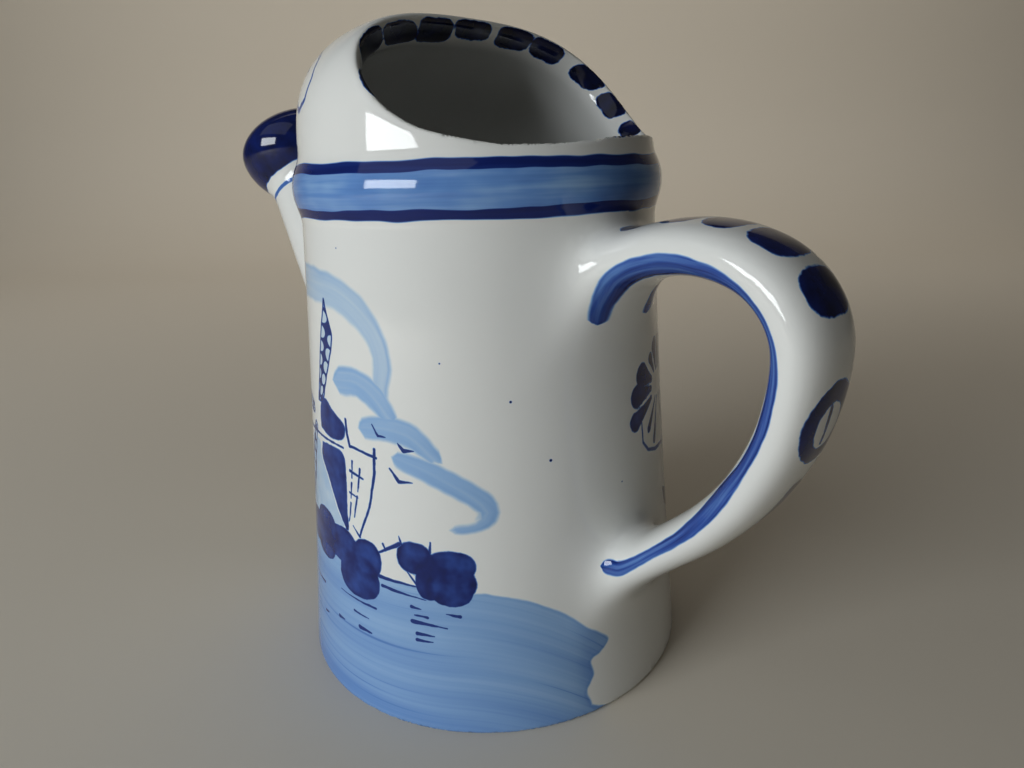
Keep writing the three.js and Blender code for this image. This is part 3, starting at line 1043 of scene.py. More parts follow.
@dataclass(frozen=True)
class Painting:
    """All broad strokes, measured at the mesh's points and kept on it as attributes."""

    layout: Layout = Layout()
    mill: MillPainting = MillPainting()
    flowers: FlowerPainting = FlowerPainting()
    lip: LipPainting = LipPainting()
    handle: HandlePainting = HandlePainting()
    lines: Linework = Linework()
    reach: float = 1.1
    band_reach: float = 6.5
    skin_span: tuple[float, float] = (-2.0, 4.0)
    spout_x: float = 45.0
    ring_from: float = 63.0
    longest_kept: float = 300.0

    def measure(self, clay: Clay, spots: np.ndarray) -> dict[str, np.ndarray]:
        """Measure every broad stroke.

        Args:
            clay: The jug's field.
            spots: The mesh's points in millimetres.

        Returns:
            For each attribute's name its number, or its row of three, at every point.
        """
        x, y, z = spots.T
        u = self.layout.spread(Side.MILL, x, y)
        w = self.layout.spread(Side.FLOWERS, x, y)
        stripes, dabs = self.handle.ink(clay, spots)
        found = {"skin": clay.body.outside(np.hypot(x, y), z),
                 "ink": np.minimum(self.mill.ink(u, z), self.flowers.ink(w, z)),
                 "lobes": self.mill.lobes(u, z),
                 "wash": self.mill.wash.field(u, z),
                 "shade": self.mill.shade.field(u, z),
                 "sails": np.minimum.reduce([sail.field(u, z) for sail in self.mill.sails]),
                 "lip_dabs": self.lip.ink(clay, spots),
                 "handle_dabs": dabs,
                 "stripes": stripes}
        for i, stroke in enumerate(self.mill.cloud):
            found[f"cloud_{i}"] = np.stack(stroke.measure(u, z), 1)
        return found

    def edges(self, clay: Clay, spots: np.ndarray) -> Field:
        """Distance from spots to the nearest edge of a thick stroke.

        Args:
            clay: The jug's field.
            spots: Rows of x, y and z, in millimetres.

        Returns:
            The distances, in millimetres.
        """
        found = self.measure(clay, spots)
        gaps = [np.abs(found[name]) for name in ("ink", "lobes", "sails", "wash")]
        gaps = np.where(np.abs(found["skin"]) < 2.0, np.minimum.reduce(gaps), CLEAR)
        stripes = np.abs(np.abs(found["stripes"][:, 2]) - found["stripes"][:, 0])
        return np.minimum.reduce([gaps, stripes, np.abs(found["lip_dabs"]), np.abs(found["handle_dabs"])])

    def regions(self, found: dict[str, np.ndarray], clay: Clay, spots: np.ndarray) -> np.ndarray:
        """Number of the region that each point lies in.

        Args:
            found: The measured strokes.
            clay: The jug's field.
            spots: The mesh's points in millimetres.

        Returns:
            The numbers, which are the values of Region.
        """
        x, y, z = spots.T
        u = self.layout.spread(Side.MILL, x, y)
        w = self.layout.spread(Side.FLOWERS, x, y)
        g = self.layout.radius * np.arctan2(np.abs(y), x)
        rows = [found[name] for name in found if name.startswith("cloud")]
        cloud = np.minimum.reduce([np.abs(row[:, 2]) - row[:, 0] for row in rows])
        thin = self.lines.field(u, z, (*self.lines.mill, *self.lines.water))
        scene = np.minimum.reduce([thin, self.mill.ink(u, z), found["sails"], found["shade"]])
        flowers = np.minimum(self.lines.field(w, z, self.lines.flowers), self.flowers.ink(w, z))
        stripes = np.abs(found["stripes"][:, 2]) - found["stripes"][:, 0]
        inmost, outmost = self.skin_span
        wall = (found["skin"] > inmost) & (found["skin"] < outmost)
        near = {Region.SKY: wall & (cloud < self.reach),
                Region.WATER: wall & (found["wash"] < self.reach),
                Region.SCENE: wall & (scene < self.reach),
                Region.FLOWERS: wall & (flowers < self.reach),
                Region.BAND: wall & (np.abs(z - clay.body.band_middle) < self.band_reach),
                Region.LIP: (found["lip_dabs"] < self.reach)
                | (wall & (self.lines.field(g, z, self.lines.scroll) < self.reach)),
                Region.HANDLE: (stripes < self.reach) | (found["handle_dabs"] < self.reach),
                Region.SPOUT: (x > self.spout_x) & (clay.spout.place(x, y, z)[0] > self.ring_from)}
        result = np.zeros(len(spots), int)
        for region, held in near.items():
            result = np.where(held, region.value, result)
        return result

    def keep(self, mesh: bpy.types.Mesh, clay: Clay, spots: np.ndarray) -> None:
        """Write the measured strokes on the mesh, and choose each face's region.

        Args:
            mesh: The mesh that is painted.
            clay: The jug's field.
            spots: Rows of x, y and z, in millimetres.
        """
        found = self.measure(clay, spots)
        places = self.regions(found, clay, spots)
        for face in mesh.polygons:
            face.material_index = int(max(places[i] for i in face.vertices))
        for name, values in found.items():
            kind, key = ("FLOAT", "value") if values.ndim == 1 else ("FLOAT_VECTOR", "vector")
            attribute = mesh.attributes.new(name, kind, "POINT")
            kept = np.clip(values, -self.longest_kept, self.longest_kept)
            attribute.data.foreach_set(key, kept.astype(np.float32).ravel())


class Term:
    """A number or a vector that the shader works out at every point of the surface."""

    def __init__(self, sheet: "Sheet", socket: bpy.types.NodeSocket) -> None:
        """Hold the socket that gives the value."""
        self.sheet = sheet
        self.socket = socket

    def __add__(self, other: "Value") -> "Term":
        """Sum."""
        return self.sheet.math("ADD", self, other)

    def __sub__(self, other: "Value") -> "Term":
        """Difference."""
        return self.sheet.math("SUBTRACT", self, other)

    def __mul__(self, other: "Value") -> "Term":
        """Product."""
        return self.sheet.math("MULTIPLY", self, other)

    def __abs__(self) -> "Term":
        """Size without its sign."""
        return self.sheet.math("ABSOLUTE", self)


Value = Term | float


class Sheet:
    """Writes sums into the nodes of one material."""

    def __init__(self, material: bpy.types.Material) -> None:
        """Open the material's nodes."""
        self.tree = material.node_tree
        self.spot = Term(self, self.node("ShaderNodeTexCoord").outputs["Object"])

    def node(self, kind: str, **settings: object) -> bpy.types.Node:
        """Add a node and set its options.

        Args:
            kind: The node's type.
            settings: Options by name.

        Returns:
            The node.
        """
        node = self.tree.nodes.new(kind)
        for name, value in settings.items():
            setattr(node, name, value)
        return node

    def feed(self, socket: bpy.types.NodeSocket, value: object) -> None:
        """Link a term to a socket, or set the socket's own number.

        Args:
            socket: The input that is set.
            value: A term, a number or a row of numbers.
        """
        if isinstance(value, Term):
            self.tree.links.new(value.socket, socket)
        else:
            socket.default_value = value

    def math(self, operation: str, *values: Value) -> Term:
        """Work out a sum of numbers.

        Args:
            operation: The kind of sum.
            values: The numbers in it.

        Returns:
            The result.
        """
        node = self.node("ShaderNodeMath", operation=operation)
        for socket, value in zip(node.inputs, values):
            self.feed(socket, value)
        return Term(self, node.outputs[0])

    def vector_math(self, operation: str, *values: object) -> Term:
        """Work out a sum of vectors.

        Args:
            operation: The kind of sum.
            values: The vectors in it.

        Returns:
            The result.
        """
        node = self.node("ShaderNodeVectorMath", operation=operation)
        for socket, value in zip(node.inputs, values):
            self.feed(socket, value)
        return Term(self, node.outputs["Value" if operation in ("DOT_PRODUCT", "LENGTH") else "Vector"])

    def clamped(self, value: Term) -> Term:
        """Number kept between 0 and 1.

        Args:
            value: The number.

        Returns:
            The result.
        """
        node = self.node("ShaderNodeClamp")
        self.feed(node.inputs[0], value)
        return Term(self, node.outputs[0])

    def scaled(self, vector: tuple[float, float, float], factor: Term) -> Term:
        """Fixed vector times a number.

        Args:
            vector: The fixed vector.
            factor: The number.

        Returns:
            The result.
        """
        node = self.node("ShaderNodeVectorMath", operation="SCALE")
        self.feed(node.inputs["Vector"], vector)
        self.feed(node.inputs["Scale"], factor)
        return Term(self, node.outputs["Vector"])

    def rise(self, value: Term, low: float, high: float) -> Term:
        """Go softly from 0 at low to 1 at high, which may lie below low.

        Args:
            value: The number.
            low: Number at which the result is 0.
            high: Number at which it is 1.

        Returns:
            The result.
        """
        node = self.node("ShaderNodeMapRange", interpolation_type="SMOOTHSTEP", clamp=False)
        flip = low > high
        for name, given in (("Value", value), ("From Min", min(low, high)), ("From Max", max(low, high)),
                            ("To Min", 1.0 if flip else 0.0), ("To Max", 0.0 if flip else 1.0)):
            self.feed(node.inputs[name], given)
        return Term(self, node.outputs["Result"])

    def noise(self, place: Term, stretch: tuple[float, float, float], detail: float = 2.0) -> Term:
        """Soft noise between about -0.5 and 0.5, with its own scale along each axis.

        Args:
            place: Where the noise is taken.
            stretch: Scale along each axis.
            detail: How many finer layers are added.

        Returns:
            The result.
        """
        mapping = self.node("ShaderNodeMapping")
        self.feed(mapping.inputs["Vector"], place)
        mapping.inputs["Scale"].default_value = stretch
        node = self.node("ShaderNodeTexNoise")
        self.feed(node.inputs["Vector"], Term(self, mapping.outputs[0]))
        node.inputs["Scale"].default_value = 1.0
        node.inputs["Detail"].default_value = detail
        return Term(self, node.outputs["Fac"]) - 0.5

    def grain(self, stretch: tuple[float, float, float], detail: float = 2.0) -> Term:
        """Soft noise through the clay, with its scale in turns per millimetre along each axis."""
        return self.noise(self.spot, tuple(part / MM for part in stretch), detail)

    def parts(self, vector: Term) -> tuple[Term, Term, Term]:
        """Three numbers of a vector.

        Args:
            vector: The vector.

        Returns:
            The numbers along x, y and z.
        """
        node = self.node("ShaderNodeSeparateXYZ")
        self.feed(node.inputs[0], vector)
        return tuple(Term(self, socket) for socket in node.outputs)

    def join(self, x: Value, y: Value, z: Value = 0.0) -> Term:
        """Vector of three numbers.

        Args:
            x: First number.
            y: Second number.
            z: Third number.

        Returns:
            The result.
        """
        node = self.node("ShaderNodeCombineXYZ")
        for socket, value in zip(node.inputs, (x, y, z)):
            self.feed(socket, value)
        return Term(self, node.outputs[0])

    def kept(self, name: str) -> Term:
        """Number that the mesh keeps under a name."""
        return Term(self, self.node("ShaderNodeAttribute", attribute_name=name).outputs["Fac"])

    def kept_row(self, name: str) -> Term:
        """Vector that the mesh keeps under a name."""
        return Term(self, self.node("ShaderNodeAttribute", attribute_name=name).outputs["Vector"])

    def thickest(self, first: Term, *others: Term) -> Term:
        """Largest of some numbers, for paint that covers what is under it.

        Args:
            first: One of the numbers.
            others: The rest of them.

        Returns:
            The result.
        """
        for other in others:
            first = self.math("MAXIMUM", first, other)
        return first

    def lines(self, place: Term, lines: Sequence[Line]) -> Term:
        """Distance outside the nearest of some thin lines.

        Args:
            place: Point on the flat layout, in millimetres.
            lines: Half widths at a line's start and end, and the places that it runs through.

        Returns:
            The field of all lines.
        """
        result: Value = CLEAR
        for start, end, path in lines:
            halves = np.linspace(start, end, len(path)).tolist()
            for (ax, ay), (bx, by), near, far in zip(path[:-1], path[1:], halves[:-1], halves[1:]):
                step = (bx - ax, by - ay, 0.0)
                whole = max(step[0] ** 2 + step[1] ** 2, 1e-6)
                gap = self.vector_math("SUBTRACT", place, (ax, ay, 0.0))
                share = self.vector_math("DOT_PRODUCT", gap, (step[0] / whole, step[1] / whole, 0.0))
                share = self.clamped(share)
                rest = self.vector_math("SUBTRACT", gap, self.scaled(step, share))
                half = self.math("MULTIPLY_ADD", share, far - near, near)
                result = self.math("MINIMUM", self.vector_math("LENGTH", rest) - half, result)
        return result


@dataclass(frozen=True)
class CobaltGlaze:
    """White tin glaze with cobalt under it, from a thin wash to nearly black."""

    white: tuple[float, float, float] = (0.83, 0.84, 0.82)
    thickest: float = 5.2
    tones: Sequence[tuple[float, float, float, float]] = (
        (0.0, 1.0, 1.0, 1.0), (0.3, 0.76, 0.87, 0.99), (0.55, 0.58, 0.75, 0.97), (1.05, 0.35, 0.57, 0.93),
        (1.8, 0.16, 0.34, 0.77), (3.0, 0.035, 0.10, 0.45), (4.2, 0.009, 0.022, 0.17),
        (5.2, 0.005, 0.006, 0.016))
    roughness: float = 0.07
    density: float = 1.46
    waves: float = 0.09
    wave_height: float = 0.3 * MM
    wave_share: float = 0.25
    hub: tuple[float, float] = (-7.8, 54.6)
    lath_turn: float = math.radians(7.3)
    first_lath: float = math.radians(76.0)
    rows_per_mm: float = 0.36
    band_low: tuple[float, float] = (90.6, 91.2)
    band_high: tuple[float, float] = (98.0, 97.4)
    upper_stripe: float = 98.05
    lower_stripe: float = 90.75
    cap_edge: tuple[float, float] = (68.7, 69.1)
    layout: Layout = Layout()
    mill: MillPainting = MillPainting()
    lines: Linework = Linework()
    spout: Spout = Spout()

    def clouds(self, sheet: Sheet) -> Term:
        """Thickness of the cloud's strokes, streaked along the brush.

        Args:
            sheet: The material's sheet.

        Returns:
            The thickness of the cobalt.
        """
        total: Value = 0.0
        for i, tone in enumerate(self.mill.cloud_tones):
            row = sheet.kept_row(f"cloud_{i}")
            cover, _, across = sheet.parts(row)
            wobble = sheet.noise(row, (0.0, 0.35, 0.0), 0.0)
            edge = abs(across) - cover + wobble * 0.5
            streak = sheet.noise(row, (0.0, 0.05, 1.0), 1.0)
            lead = sheet.rise(edge, -1.3, -0.25) * sheet.rise(across, -0.4, 1.2) * 0.24
            stroke = sheet.rise(edge, 0.4, -0.6) * (streak * 0.6 + tone + lead)
            total = sheet.math("MAXIMUM", stroke, total)
        return total

    def water(self, sheet: Sheet, x: Term, y: Term, u: Term, height: Term) -> Term:
        """Thickness of the wash under the mill, brushed along its edge.

        Args:
            sheet: The material's sheet.
            x: Place along the jug.
            y: Place across it.
            u: Place round the wall from the mill side's middle.
            height: Height above the foot, in millimetres.

        Returns:
            The thickness of the cobalt.
        """
        bend = sheet.math("MAXIMUM", u - 25.0, 0.0)
        level = bend * bend * 0.02 + height
        flat = sheet.join(x, y, level)
        edge = sheet.kept("wash") + sheet.noise(flat, (0.3, 0.3, 0.3), 1.0) * 0.7
        broad = sheet.noise(flat, (0.018, 0.018, 0.26), 0.0) * 0.9
        fine = sheet.noise(flat, (0.016, 0.016, 1.1), 2.0)
        line = sheet.rise(fine, 0.12, 0.26) * 0.7
        end = sheet.rise(u, 43.5, 48.5) * 0.4 * sheet.rise(edge, -6.0, -1.0)
        left = sheet.rise(u, 14.0, -20.0) * 0.35 + sheet.rise(level, 12.0, 3.0) * 0.35
        top = sheet.rise(level, 22.0, 28.5) * -0.25
        pool = sheet.rise(edge, -0.9, -0.2) * 0.2
        return sheet.rise(edge, 0.2, -0.35) * (broad + fine * 0.7 + line + end + left + top + pool + 1.3)

    def lattice(self, sheet: Sheet, flat: Term) -> Term:
        """Thickness of the sails: dark laths round small oval openings.

        Args:
            sheet: The material's sheet.
            flat: Point on the flat layout, in millimetres.

        Returns:
            The thickness of the cobalt.
        """
        sails = sheet.kept("sails") + sheet.noise(flat, (0.5, 0.5, 0.0), 0.0) * 0.3
        hub = sheet.vector_math("SUBTRACT", flat, (*self.hub, 0.0))
        radius = sheet.vector_math("LENGTH", hub)
        x, y, _ = sheet.parts(hub)
        turn = sheet.math("ARCTAN2", y, x)
        column = sheet.math("PINGPONG", turn - self.first_lath, self.lath_turn) * (1.0 / self.lath_turn)
        row = sheet.math("PINGPONG", radius * self.rows_per_mm, 0.5) * 2.0
        hole = column * column * 1.1 + row * row
        openings = sheet.rise(hole, 0.75, 0.5) * sheet.rise(sails, -0.25, -0.6)
        return sheet.rise(sails, 0.15, -0.15) * (openings * -3.6 + 4.0)

    def scene(self, sheet: Sheet, flat: Term, wet: Term, blotch: Term, grain: Term) -> Term:
        """Thickness of the mill, the bushes and the thin lines, over the wet paint round them.

        Args:
            sheet: The material's sheet.
            flat: Point on the flat layout, in millimetres.
            wet: Thickness of the paint under it.
            blotch: Broad noise in the paint.
            grain: Fine noise in the paint.

        Returns:
            The thickness of the cobalt.
        """
        ink = sheet.kept("ink") + grain * 0.3
        seam = sheet.rise(sheet.kept("lobes"), 1.1, 0.1) * 0.3
        dark = sheet.rise(ink, 0.15, -0.2) * (blotch * 2.2 + seam + 3.8)
        shade = sheet.rise(sheet.kept("shade") + blotch * 0.8, 0.2, -0.4) * (blotch * 0.8 + 0.62)
        thin = sheet.lines(flat, (*self.lines.mill, *self.lines.water)) + grain * 0.2
        drawn = sheet.rise(thin, 0.1, -0.14) * 3.9
        return sheet.thickest(wet + shade, dark, self.lattice(sheet, flat), drawn)

    def flowers(self, sheet: Sheet, flat: Term, blotch: Term, grain: Term) -> Term:
        """Thickness of the petals, leaves and stems.

        Args:
            sheet: The material's sheet.
            flat: Point on the flat layout, in millimetres.
            blotch: Broad noise in the paint.
            grain: Fine noise in the paint.

        Returns:
            The thickness of the cobalt.
        """
        dark = sheet.rise(sheet.kept("ink") + grain * 0.3, 0.15, -0.2) * (blotch * 2.2 + 4.2)
        thin = sheet.lines(flat, self.lines.flowers) + grain * 0.2
        return sheet.thickest(dark, sheet.rise(thin, 0.12, -0.14) * 3.2)

    def bands(self, sheet: Sheet, height: Term) -> Term:
        """Thickness of the blue band and its two dark edge stripes.

        Args:
            sheet: The material's sheet.
            height: Height above the foot, in millimetres.

        Returns:
            The thickness of the cobalt.
        """
        wave = sheet.grain((0.11, 0.11, 0.0), 1.0) * 1.3
        wave_low = sheet.grain((0.09, 0.09, 0.3), 1.0) * 1.3
        brushed = sheet.grain((0.045, 0.045, 0.95), 2.0)
        cloudy = sheet.grain((0.1, 0.1, 0.16), 2.0)
        middle = sheet.rise(height, *self.band_low) * sheet.rise(height, *self.band_high)
        ink = brushed * 1.2 + 4.2
        upper = sheet.rise(abs(height + wave - self.upper_stripe), 1.0, 0.7) * ink
        lower = sheet.rise(abs(height + wave_low - self.lower_stripe), 0.95, 0.65) * ink
        return sheet.thickest(middle * (brushed * 1.5 + cloudy * 1.3 + 1.75), upper, lower)

    def lip(self, sheet: Sheet, g: Term, height: Term, blotch: Term, grain: Term) -> Term:
        """Thickness of the dabs on the lip and the scroll on the hood.

        Args:
            sheet: The material's sheet.
            g: Place round the wall from the spout's side.
            height: Height above the foot, in millimetres.
            blotch: Broad noise in the paint.
            grain: Fine noise in the paint.

        Returns:
            The thickness of the cobalt.
        """
        dabs = sheet.rise(sheet.kept("lip_dabs") + grain * 0.7, 0.15, -0.3) * (blotch + 5.0)
        scroll = sheet.lines(sheet.join(g, height), self.lines.scroll) + grain * 0.3
        scroll = sheet.rise(scroll, 0.12, -0.2) * sheet.rise(sheet.kept("skin"), -1.3, -0.7)
        return sheet.thickest(scroll * 3.2, dabs)

    def handle(self, sheet: Sheet, blotch: Term, grain: Term) -> Term:
        """Thickness of the handle's stripes and dabs.

        Args:
            sheet: The material's sheet.
            blotch: Broad noise in the paint.
            grain: Fine noise in the paint.

        Returns:
            The thickness of the cobalt.
        """
        row = sheet.kept_row("stripes")
        cover, _, across = sheet.parts(row)
        edge = abs(across) - cover + sheet.noise(row, (0.0, 0.3, 0.0), 1.0) * 0.4
        wet = sheet.noise(row, (0.0, 0.06, 1.3), 2.0) * 3.4 + across * -0.25 + 3.0
        stripes = sheet.rise(edge, 0.2, -0.3) * (wet + sheet.rise(edge, -0.9, -0.2) * 0.5)
        dabs = sheet.rise(sheet.kept("handle_dabs") + grain * 0.4, 0.15, -0.25) * (blotch * 1.8 + 4.6)
        return sheet.thickest(stripes, dabs)

    def rose(self, sheet: Sheet, x: Term, height: Term, blotch: Term) -> Term:
        """Thickness of the dark cap on the spout and the thin ring below it.

        Args:
            sheet: The material's sheet.
            x: Place along the jug.
            height: Height above the foot, in millimetres.
            blotch: Broad noise in the paint.

        Returns:
            The thickness of the cobalt.
        """
        c, s = math.cos(self.spout.angle), math.sin(self.spout.angle)
        run = (x - self.spout.root_x) * c + (height - self.spout.root_z) * s + blotch * 0.8
        cap = sheet.rise(run, *self.cap_edge) * (blotch * 1.2 + 4.7)
        return sheet.thickest(sheet.rise(abs(run - self.spout.neck_at), 0.6, 0.3) * 2.6, cap)

    def thickness(self, sheet: Sheet, region: Region) -> Term:
        """Thickness of the cobalt at every point of one region.

        Args:
            sheet: The material's sheet.
            region: The part of the surface that is painted.

        Returns:
            The thickness of the cobalt.
        """
        x, y, height = sheet.parts(sheet.vector_math("MULTIPLY", sheet.spot, (1.0 / MM,) * 3))
        u = sheet.math("ARCTAN2", x * -1.0, y) * self.layout.radius
        wander = sheet.grain((0.25, 0.25, 0.25), 1.0) * 0.5
        blotch = sheet.grain((0.28, 0.28, 0.28))
        grain = sheet.grain((0.9, 0.9, 0.9), 1.0)
        if region is Region.LIP:
            g = sheet.math("ARCTAN2", abs(y), x) * self.layout.radius
            return self.lip(sheet, g, height, blotch, grain)
        if region is Region.HANDLE:
            return self.handle(sheet, blotch, grain)
        if region is Region.SPOUT:
            return self.rose(sheet, x, height, blotch)
        if region is Region.FLOWERS:
            w = sheet.math("ARCTAN2", x, y * -1.0) * self.layout.radius
            painted = self.flowers(sheet, sheet.join(w + wander, height + wander), blotch, grain)
        elif region is Region.BAND:
            painted = self.bands(sheet, height)
        elif region is Region.SKY:
            painted = self.clouds(sheet)
        elif region is Region.WATER:
            painted = self.water(sheet, x, y, u, height)
        elif region is Region.SCENE:
            wet = self.clouds(sheet) + self.water(sheet, x, y, u, height)
            painted = self.scene(sheet, sheet.join(u + wander, height + wander), wet, blotch, grain)
        else:
            specks = sheet.lines(sheet.join(u, height), self.lines.specks)
            painted = sheet.rise(specks, 0.08, -0.08) * 4.6
        skin = sheet.kept("skin")
        return painted * sheet.rise(skin, -1.3, -0.7) * sheet.rise(skin, 3.4, 2.4)

    def material(self, region: Region) -> bpy.types.Material:
        """Make the glaze of one region.

        Args:
            region: The part of the surface that is painted.

        Returns:
            The finished material.
        """
        glaze = bpy.data.materials.new(f"glaze_{region.name.lower()}")
        glaze.use_nodes = True
        sheet = Sheet(glaze)
        shader = glaze.node_tree.nodes["Principled BSDF"]
        shader.inputs["Roughness"].default_value = self.roughness
        shader.inputs["IOR"].default_value = self.density
        thickness = self.thickness(sheet, region) * (1.0 / self.thickest)
        ramp = sheet.node("ShaderNodeValToRGB")
        stops = ramp.color_ramp.elements
        stops.remove(stops[1])
        for i, (level, *tone) in enumerate(self.tones):
            stop = stops.new(level / self.thickest) if i else stops[0]
            stop.color = (*(part * full for part, full in zip(tone, self.white)), 1.0)
        sheet.feed(ramp.inputs[0], thickness)
        sheet.feed(shader.inputs["Base Color"], Term(sheet, ramp.outputs[0]))
        bump = sheet.node("ShaderNodeBump")
        bump.inputs["Strength"].default_value = self.wave_share
        bump.inputs["Distance"].default_value = self.wave_height
        sheet.feed(bump.inputs["Height"], sheet.grain((self.waves,) * 3))
        sheet.feed(shader.inputs["Normal"], Term(sheet, bump.outputs[0]))
        return glaze


@dataclass(frozen=True)
class Jug:
    """The glazed jug as one mesh that stands for the solid."""

    clay: Clay = Clay()
    net: Net = Net()
    painting: Painting = Painting()
    glaze: CobaltGlaze = CobaltGlaze()
    lip_from: float = 98.0
    lip_until: float = 36.0
    rose_from: float = 79.0
    rose_x: float = 40.0
    foot_height: float = 1.2
    foot_radius: float = 37.5
    stroke_reach: float = 0.8

    def build(self, box: Sequence[Sequence[float]]) -> bpy.types.Object:
        """Cut, even out, paint and shade the mesh.

        Args:
            box: Lowest and highest corner of the solid, in metres, which the mesh stays inside.

        Returns:
            The jug.
        """
        spots, quads = self.net.cut(self.clay)
        for _ in range(2):
            spots = self.clay.settle(relax(spots, quads), 1)
        faces = quads.tolist()
        for reach in (1.0, 0.0):
            spots, faces = refine(spots, faces, self.fine(spots, faces, reach))
            spots = self.clay.settle(spots, 2)
        spots = np.clip(spots, *(np.array(box) / MM))
        mesh = bpy.data.meshes.new("glazed_jug")
        mesh.from_pydata((spots * MM).tolist(), [], faces)
        mesh.update()
        mesh.shade_smooth()
        normals = self.clay.slope(spots)
        normals /= np.linalg.norm(normals, axis=1, keepdims=True)
        mesh.normals_split_custom_set_from_vertices(normals.tolist())
        for region in Region:
            mesh.materials.append(self.glaze.material(region))
        self.painting.keep(mesh, self.clay, spots)
        jug = bpy.data.objects.new("glazed_jug", mesh)
        bpy.context.collection.objects.link(jug)
        return jug

    def fine(self, spots: np.ndarray, faces: list[list[int]], reach: float) -> np.ndarray:
        """Choose the faces near the lip, the rose, the foot's edge and the edges of strokes.

        Args:
            spots: Rows of x, y and z, in millimetres.
            faces: Lists of vertex numbers.
            reach: How much wider than needed the choice is, in shares.

        Returns:
            True for each face that is chosen.
        """
        corners = spots[[face[0] for face in faces]]
        x, y, z = corners.T
        above = self.clay.mouth.above_edge(x, y, z)
        lip = (above > -2.0 - 6.0 * reach) & (z > self.lip_from) & (x < self.lip_until)
        rose = (self.clay.spout.place(x, y, z)[0] > self.rose_from - 4.0 * reach) & (x > self.rose_x)
        rose &= self.clay.spout.outside(x, y, z) > -0.8 - 3.0 * reach
        foot = (z < self.foot_height * (1.0 + reach)) & (np.hypot(x, y) > self.foot_radius - reach)
        strokes = self.painting.edges(self.clay, corners) < self.stroke_reach + 0.9 * reach
        return lip | rose | foot | strokes


@dataclass(frozen=True)
class Floor:
    """A plain pale floor that bends up into a wall behind the jug."""

    half_width: float = 2.0
    profile: Points = ((-2.5, 0.0), (0.6, 0.0), (0.66, 0.004), (0.72, 0.016), (0.78, 0.038), (0.83, 0.068),
                       (0.87, 0.11), (0.9, 0.17), (0.91, 0.25), (0.91, 0.8))
    away: tuple[float, float] = (0.742, -0.671)
    colour: tuple[float, float, float] = (0.76, 0.7, 0.6)
    roughness: float = 0.7

    def build(self) -> bpy.types.Object:
        """Lay the floor.

        Returns:
            The floor.
        """
        (c, s), half = self.away, self.half_width
        corners = [(run * c - side * s, run * s + side * c, z)
                   for run, z in self.profile for side in (-half, half)]
        faces = [(2 * i, 2 * i + 2, 2 * i + 3, 2 * i + 1) for i in range(len(self.profile) - 1)]
        mesh = bpy.data.meshes.new("floor")
        mesh.from_pydata(corners, [], faces)
        mesh.shade_smooth()
        paper = bpy.data.materials.new("pale_floor")
        paper.use_nodes = True
        shader = paper.node_tree.nodes["Principled BSDF"]
        shader.inputs["Base Color"].default_value = (*self.colour, 1.0)
        shader.inputs["Roughness"].default_value = self.roughness
        mesh.materials.append(paper)
        floor = bpy.data.objects.new("floor", mesh)
        bpy.context.collection.objects.link(floor)
        return floor


@dataclass(frozen=True)
class Lamp:
    """A soft lamp: a glowing rectangle that faces a point."""

    name: str
    size: tuple[float, float]
    power: float
    place: tuple[float, float, float]
    aim: tuple[float, float, float] = (0.0, 0.0, 0.08)
    spread: float = math.pi
    colour: tuple[float, float, float] = (0.94, 0.98, 1.0)

    def build(self) -> None:
        """Hang the lamp."""
        lamp = bpy.data.lights.new(self.name, "AREA")
        lamp.shape = "RECTANGLE"
        lamp.size, lamp.size_y = self.size
        lamp.energy = self.power
        lamp.spread = self.spread
        lamp.color = self.colour
        hung = bpy.data.objects.new(self.name, lamp)
        hung.location = self.place
        hung.rotation_euler = (Vector(self.aim) - hung.location).to_track_quat("-Z", "Y").to_euler()
        bpy.context.collection.objects.link(hung)


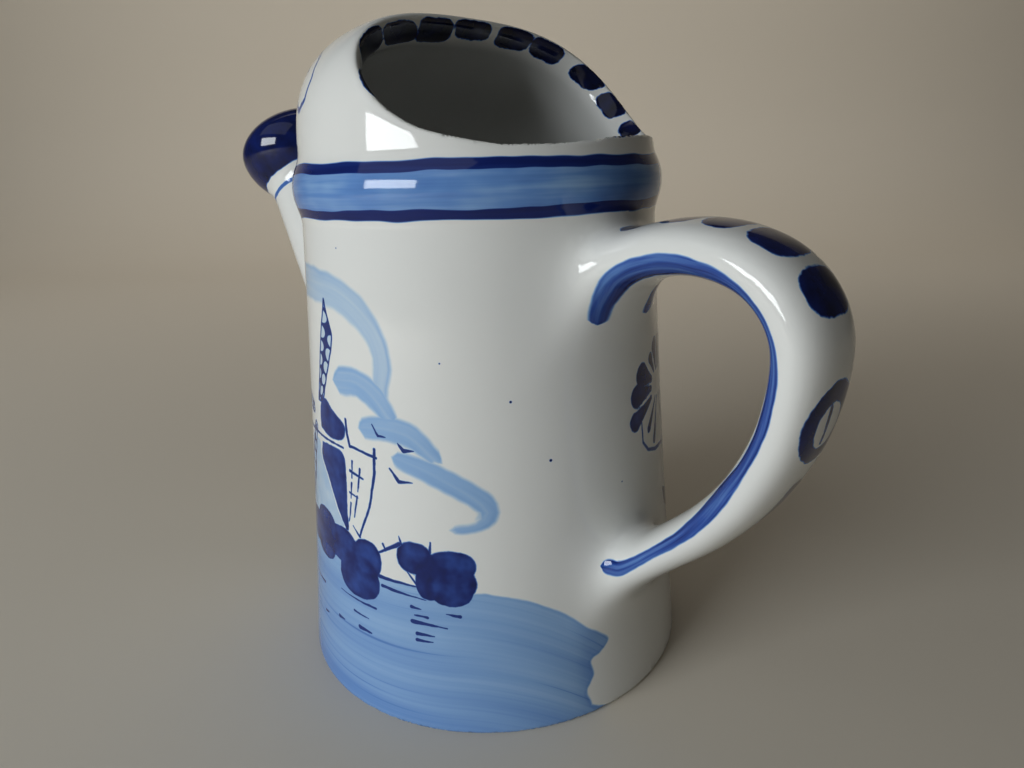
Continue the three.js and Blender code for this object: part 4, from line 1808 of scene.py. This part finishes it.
@dataclass(frozen=True)
class Studio:
    """A dim room, a low window beside the camera, pale sky over it and a lamp on the wall behind."""

    room_colour: tuple[float, float, float] = (1.0, 0.93, 0.82)
    room_strength: float = 0.03
    lamps: Sequence[Lamp] = (
        Lamp("window", (0.46, 0.2), 3.7, (0.02, 0.79, 0.235)),
        Lamp("sky", (1.0, 0.5), 0.75, (-0.05, 0.66, 0.66)),
        Lamp("wall_lamp", (1.4, 0.3), 1.5, (0.2, -0.18, 0.9), (0.6, -0.54, 0.1), math.radians(110.0),
             (1.0, 0.95, 0.88)))

    def build(self) -> None:
        """Light the room."""
        world = bpy.data.worlds.new("soft_room")
        world.use_nodes = True
        room = world.node_tree.nodes["Background"]
        room.inputs["Color"].default_value = (*self.room_colour, 1.0)
        room.inputs["Strength"].default_value = self.room_strength
        bpy.context.scene.world = world
        for lamp in self.lamps:
            lamp.build()
        bpy.context.scene.view_settings.view_transform = "Standard"


@dataclass(frozen=True)
class Camera:
    """The camera at the photograph's place and angle."""

    place: tuple[float, float, float] = (-0.10898, 0.09148, 0.097)
    right: tuple[float, float, float] = (-0.6772, -0.7352, -0.0296)
    up: tuple[float, float, float] = (0.1961, -0.2192, 0.9558)
    ahead: tuple[float, float, float] = (0.7091, -0.6415, -0.2927)
    sensor: float = 36.0
    focal_share: float = 700.0 / 1024.0
    nearest: float = 0.01

    def build(self) -> None:
        """Place the camera."""
        data = bpy.data.cameras.new("camera")
        data.sensor_width = self.sensor
        data.lens = self.sensor * self.focal_share
        data.clip_start = self.nearest
        camera = bpy.data.objects.new("camera", data)
        turn = Matrix((self.right, self.up, -Vector(self.ahead))).transposed().to_4x4()
        camera.matrix_world = Matrix.Translation(self.place) @ turn
        bpy.context.collection.objects.link(camera)
        bpy.context.scene.camera = camera


def main() -> None:
    """Build the jug, its stage and its camera, and report each piece."""
    logging.basicConfig(level=logging.INFO, format="%(message)s")
    cad_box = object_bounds()
    jug = Jug().build(cad_box)
    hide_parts("jug")
    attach(jug, "root")
    triangles = sum(len(face.vertices) - 2 for face in jug.data.polygons)
    log.info("jug: %d faces, %d triangles", len(jug.data.polygons), triangles)
    Floor().build()
    log.info("floor laid")
    Studio().build()
    Camera().build()
    log.info("studio lit and camera placed")


if __name__ == "__main__":
    main()
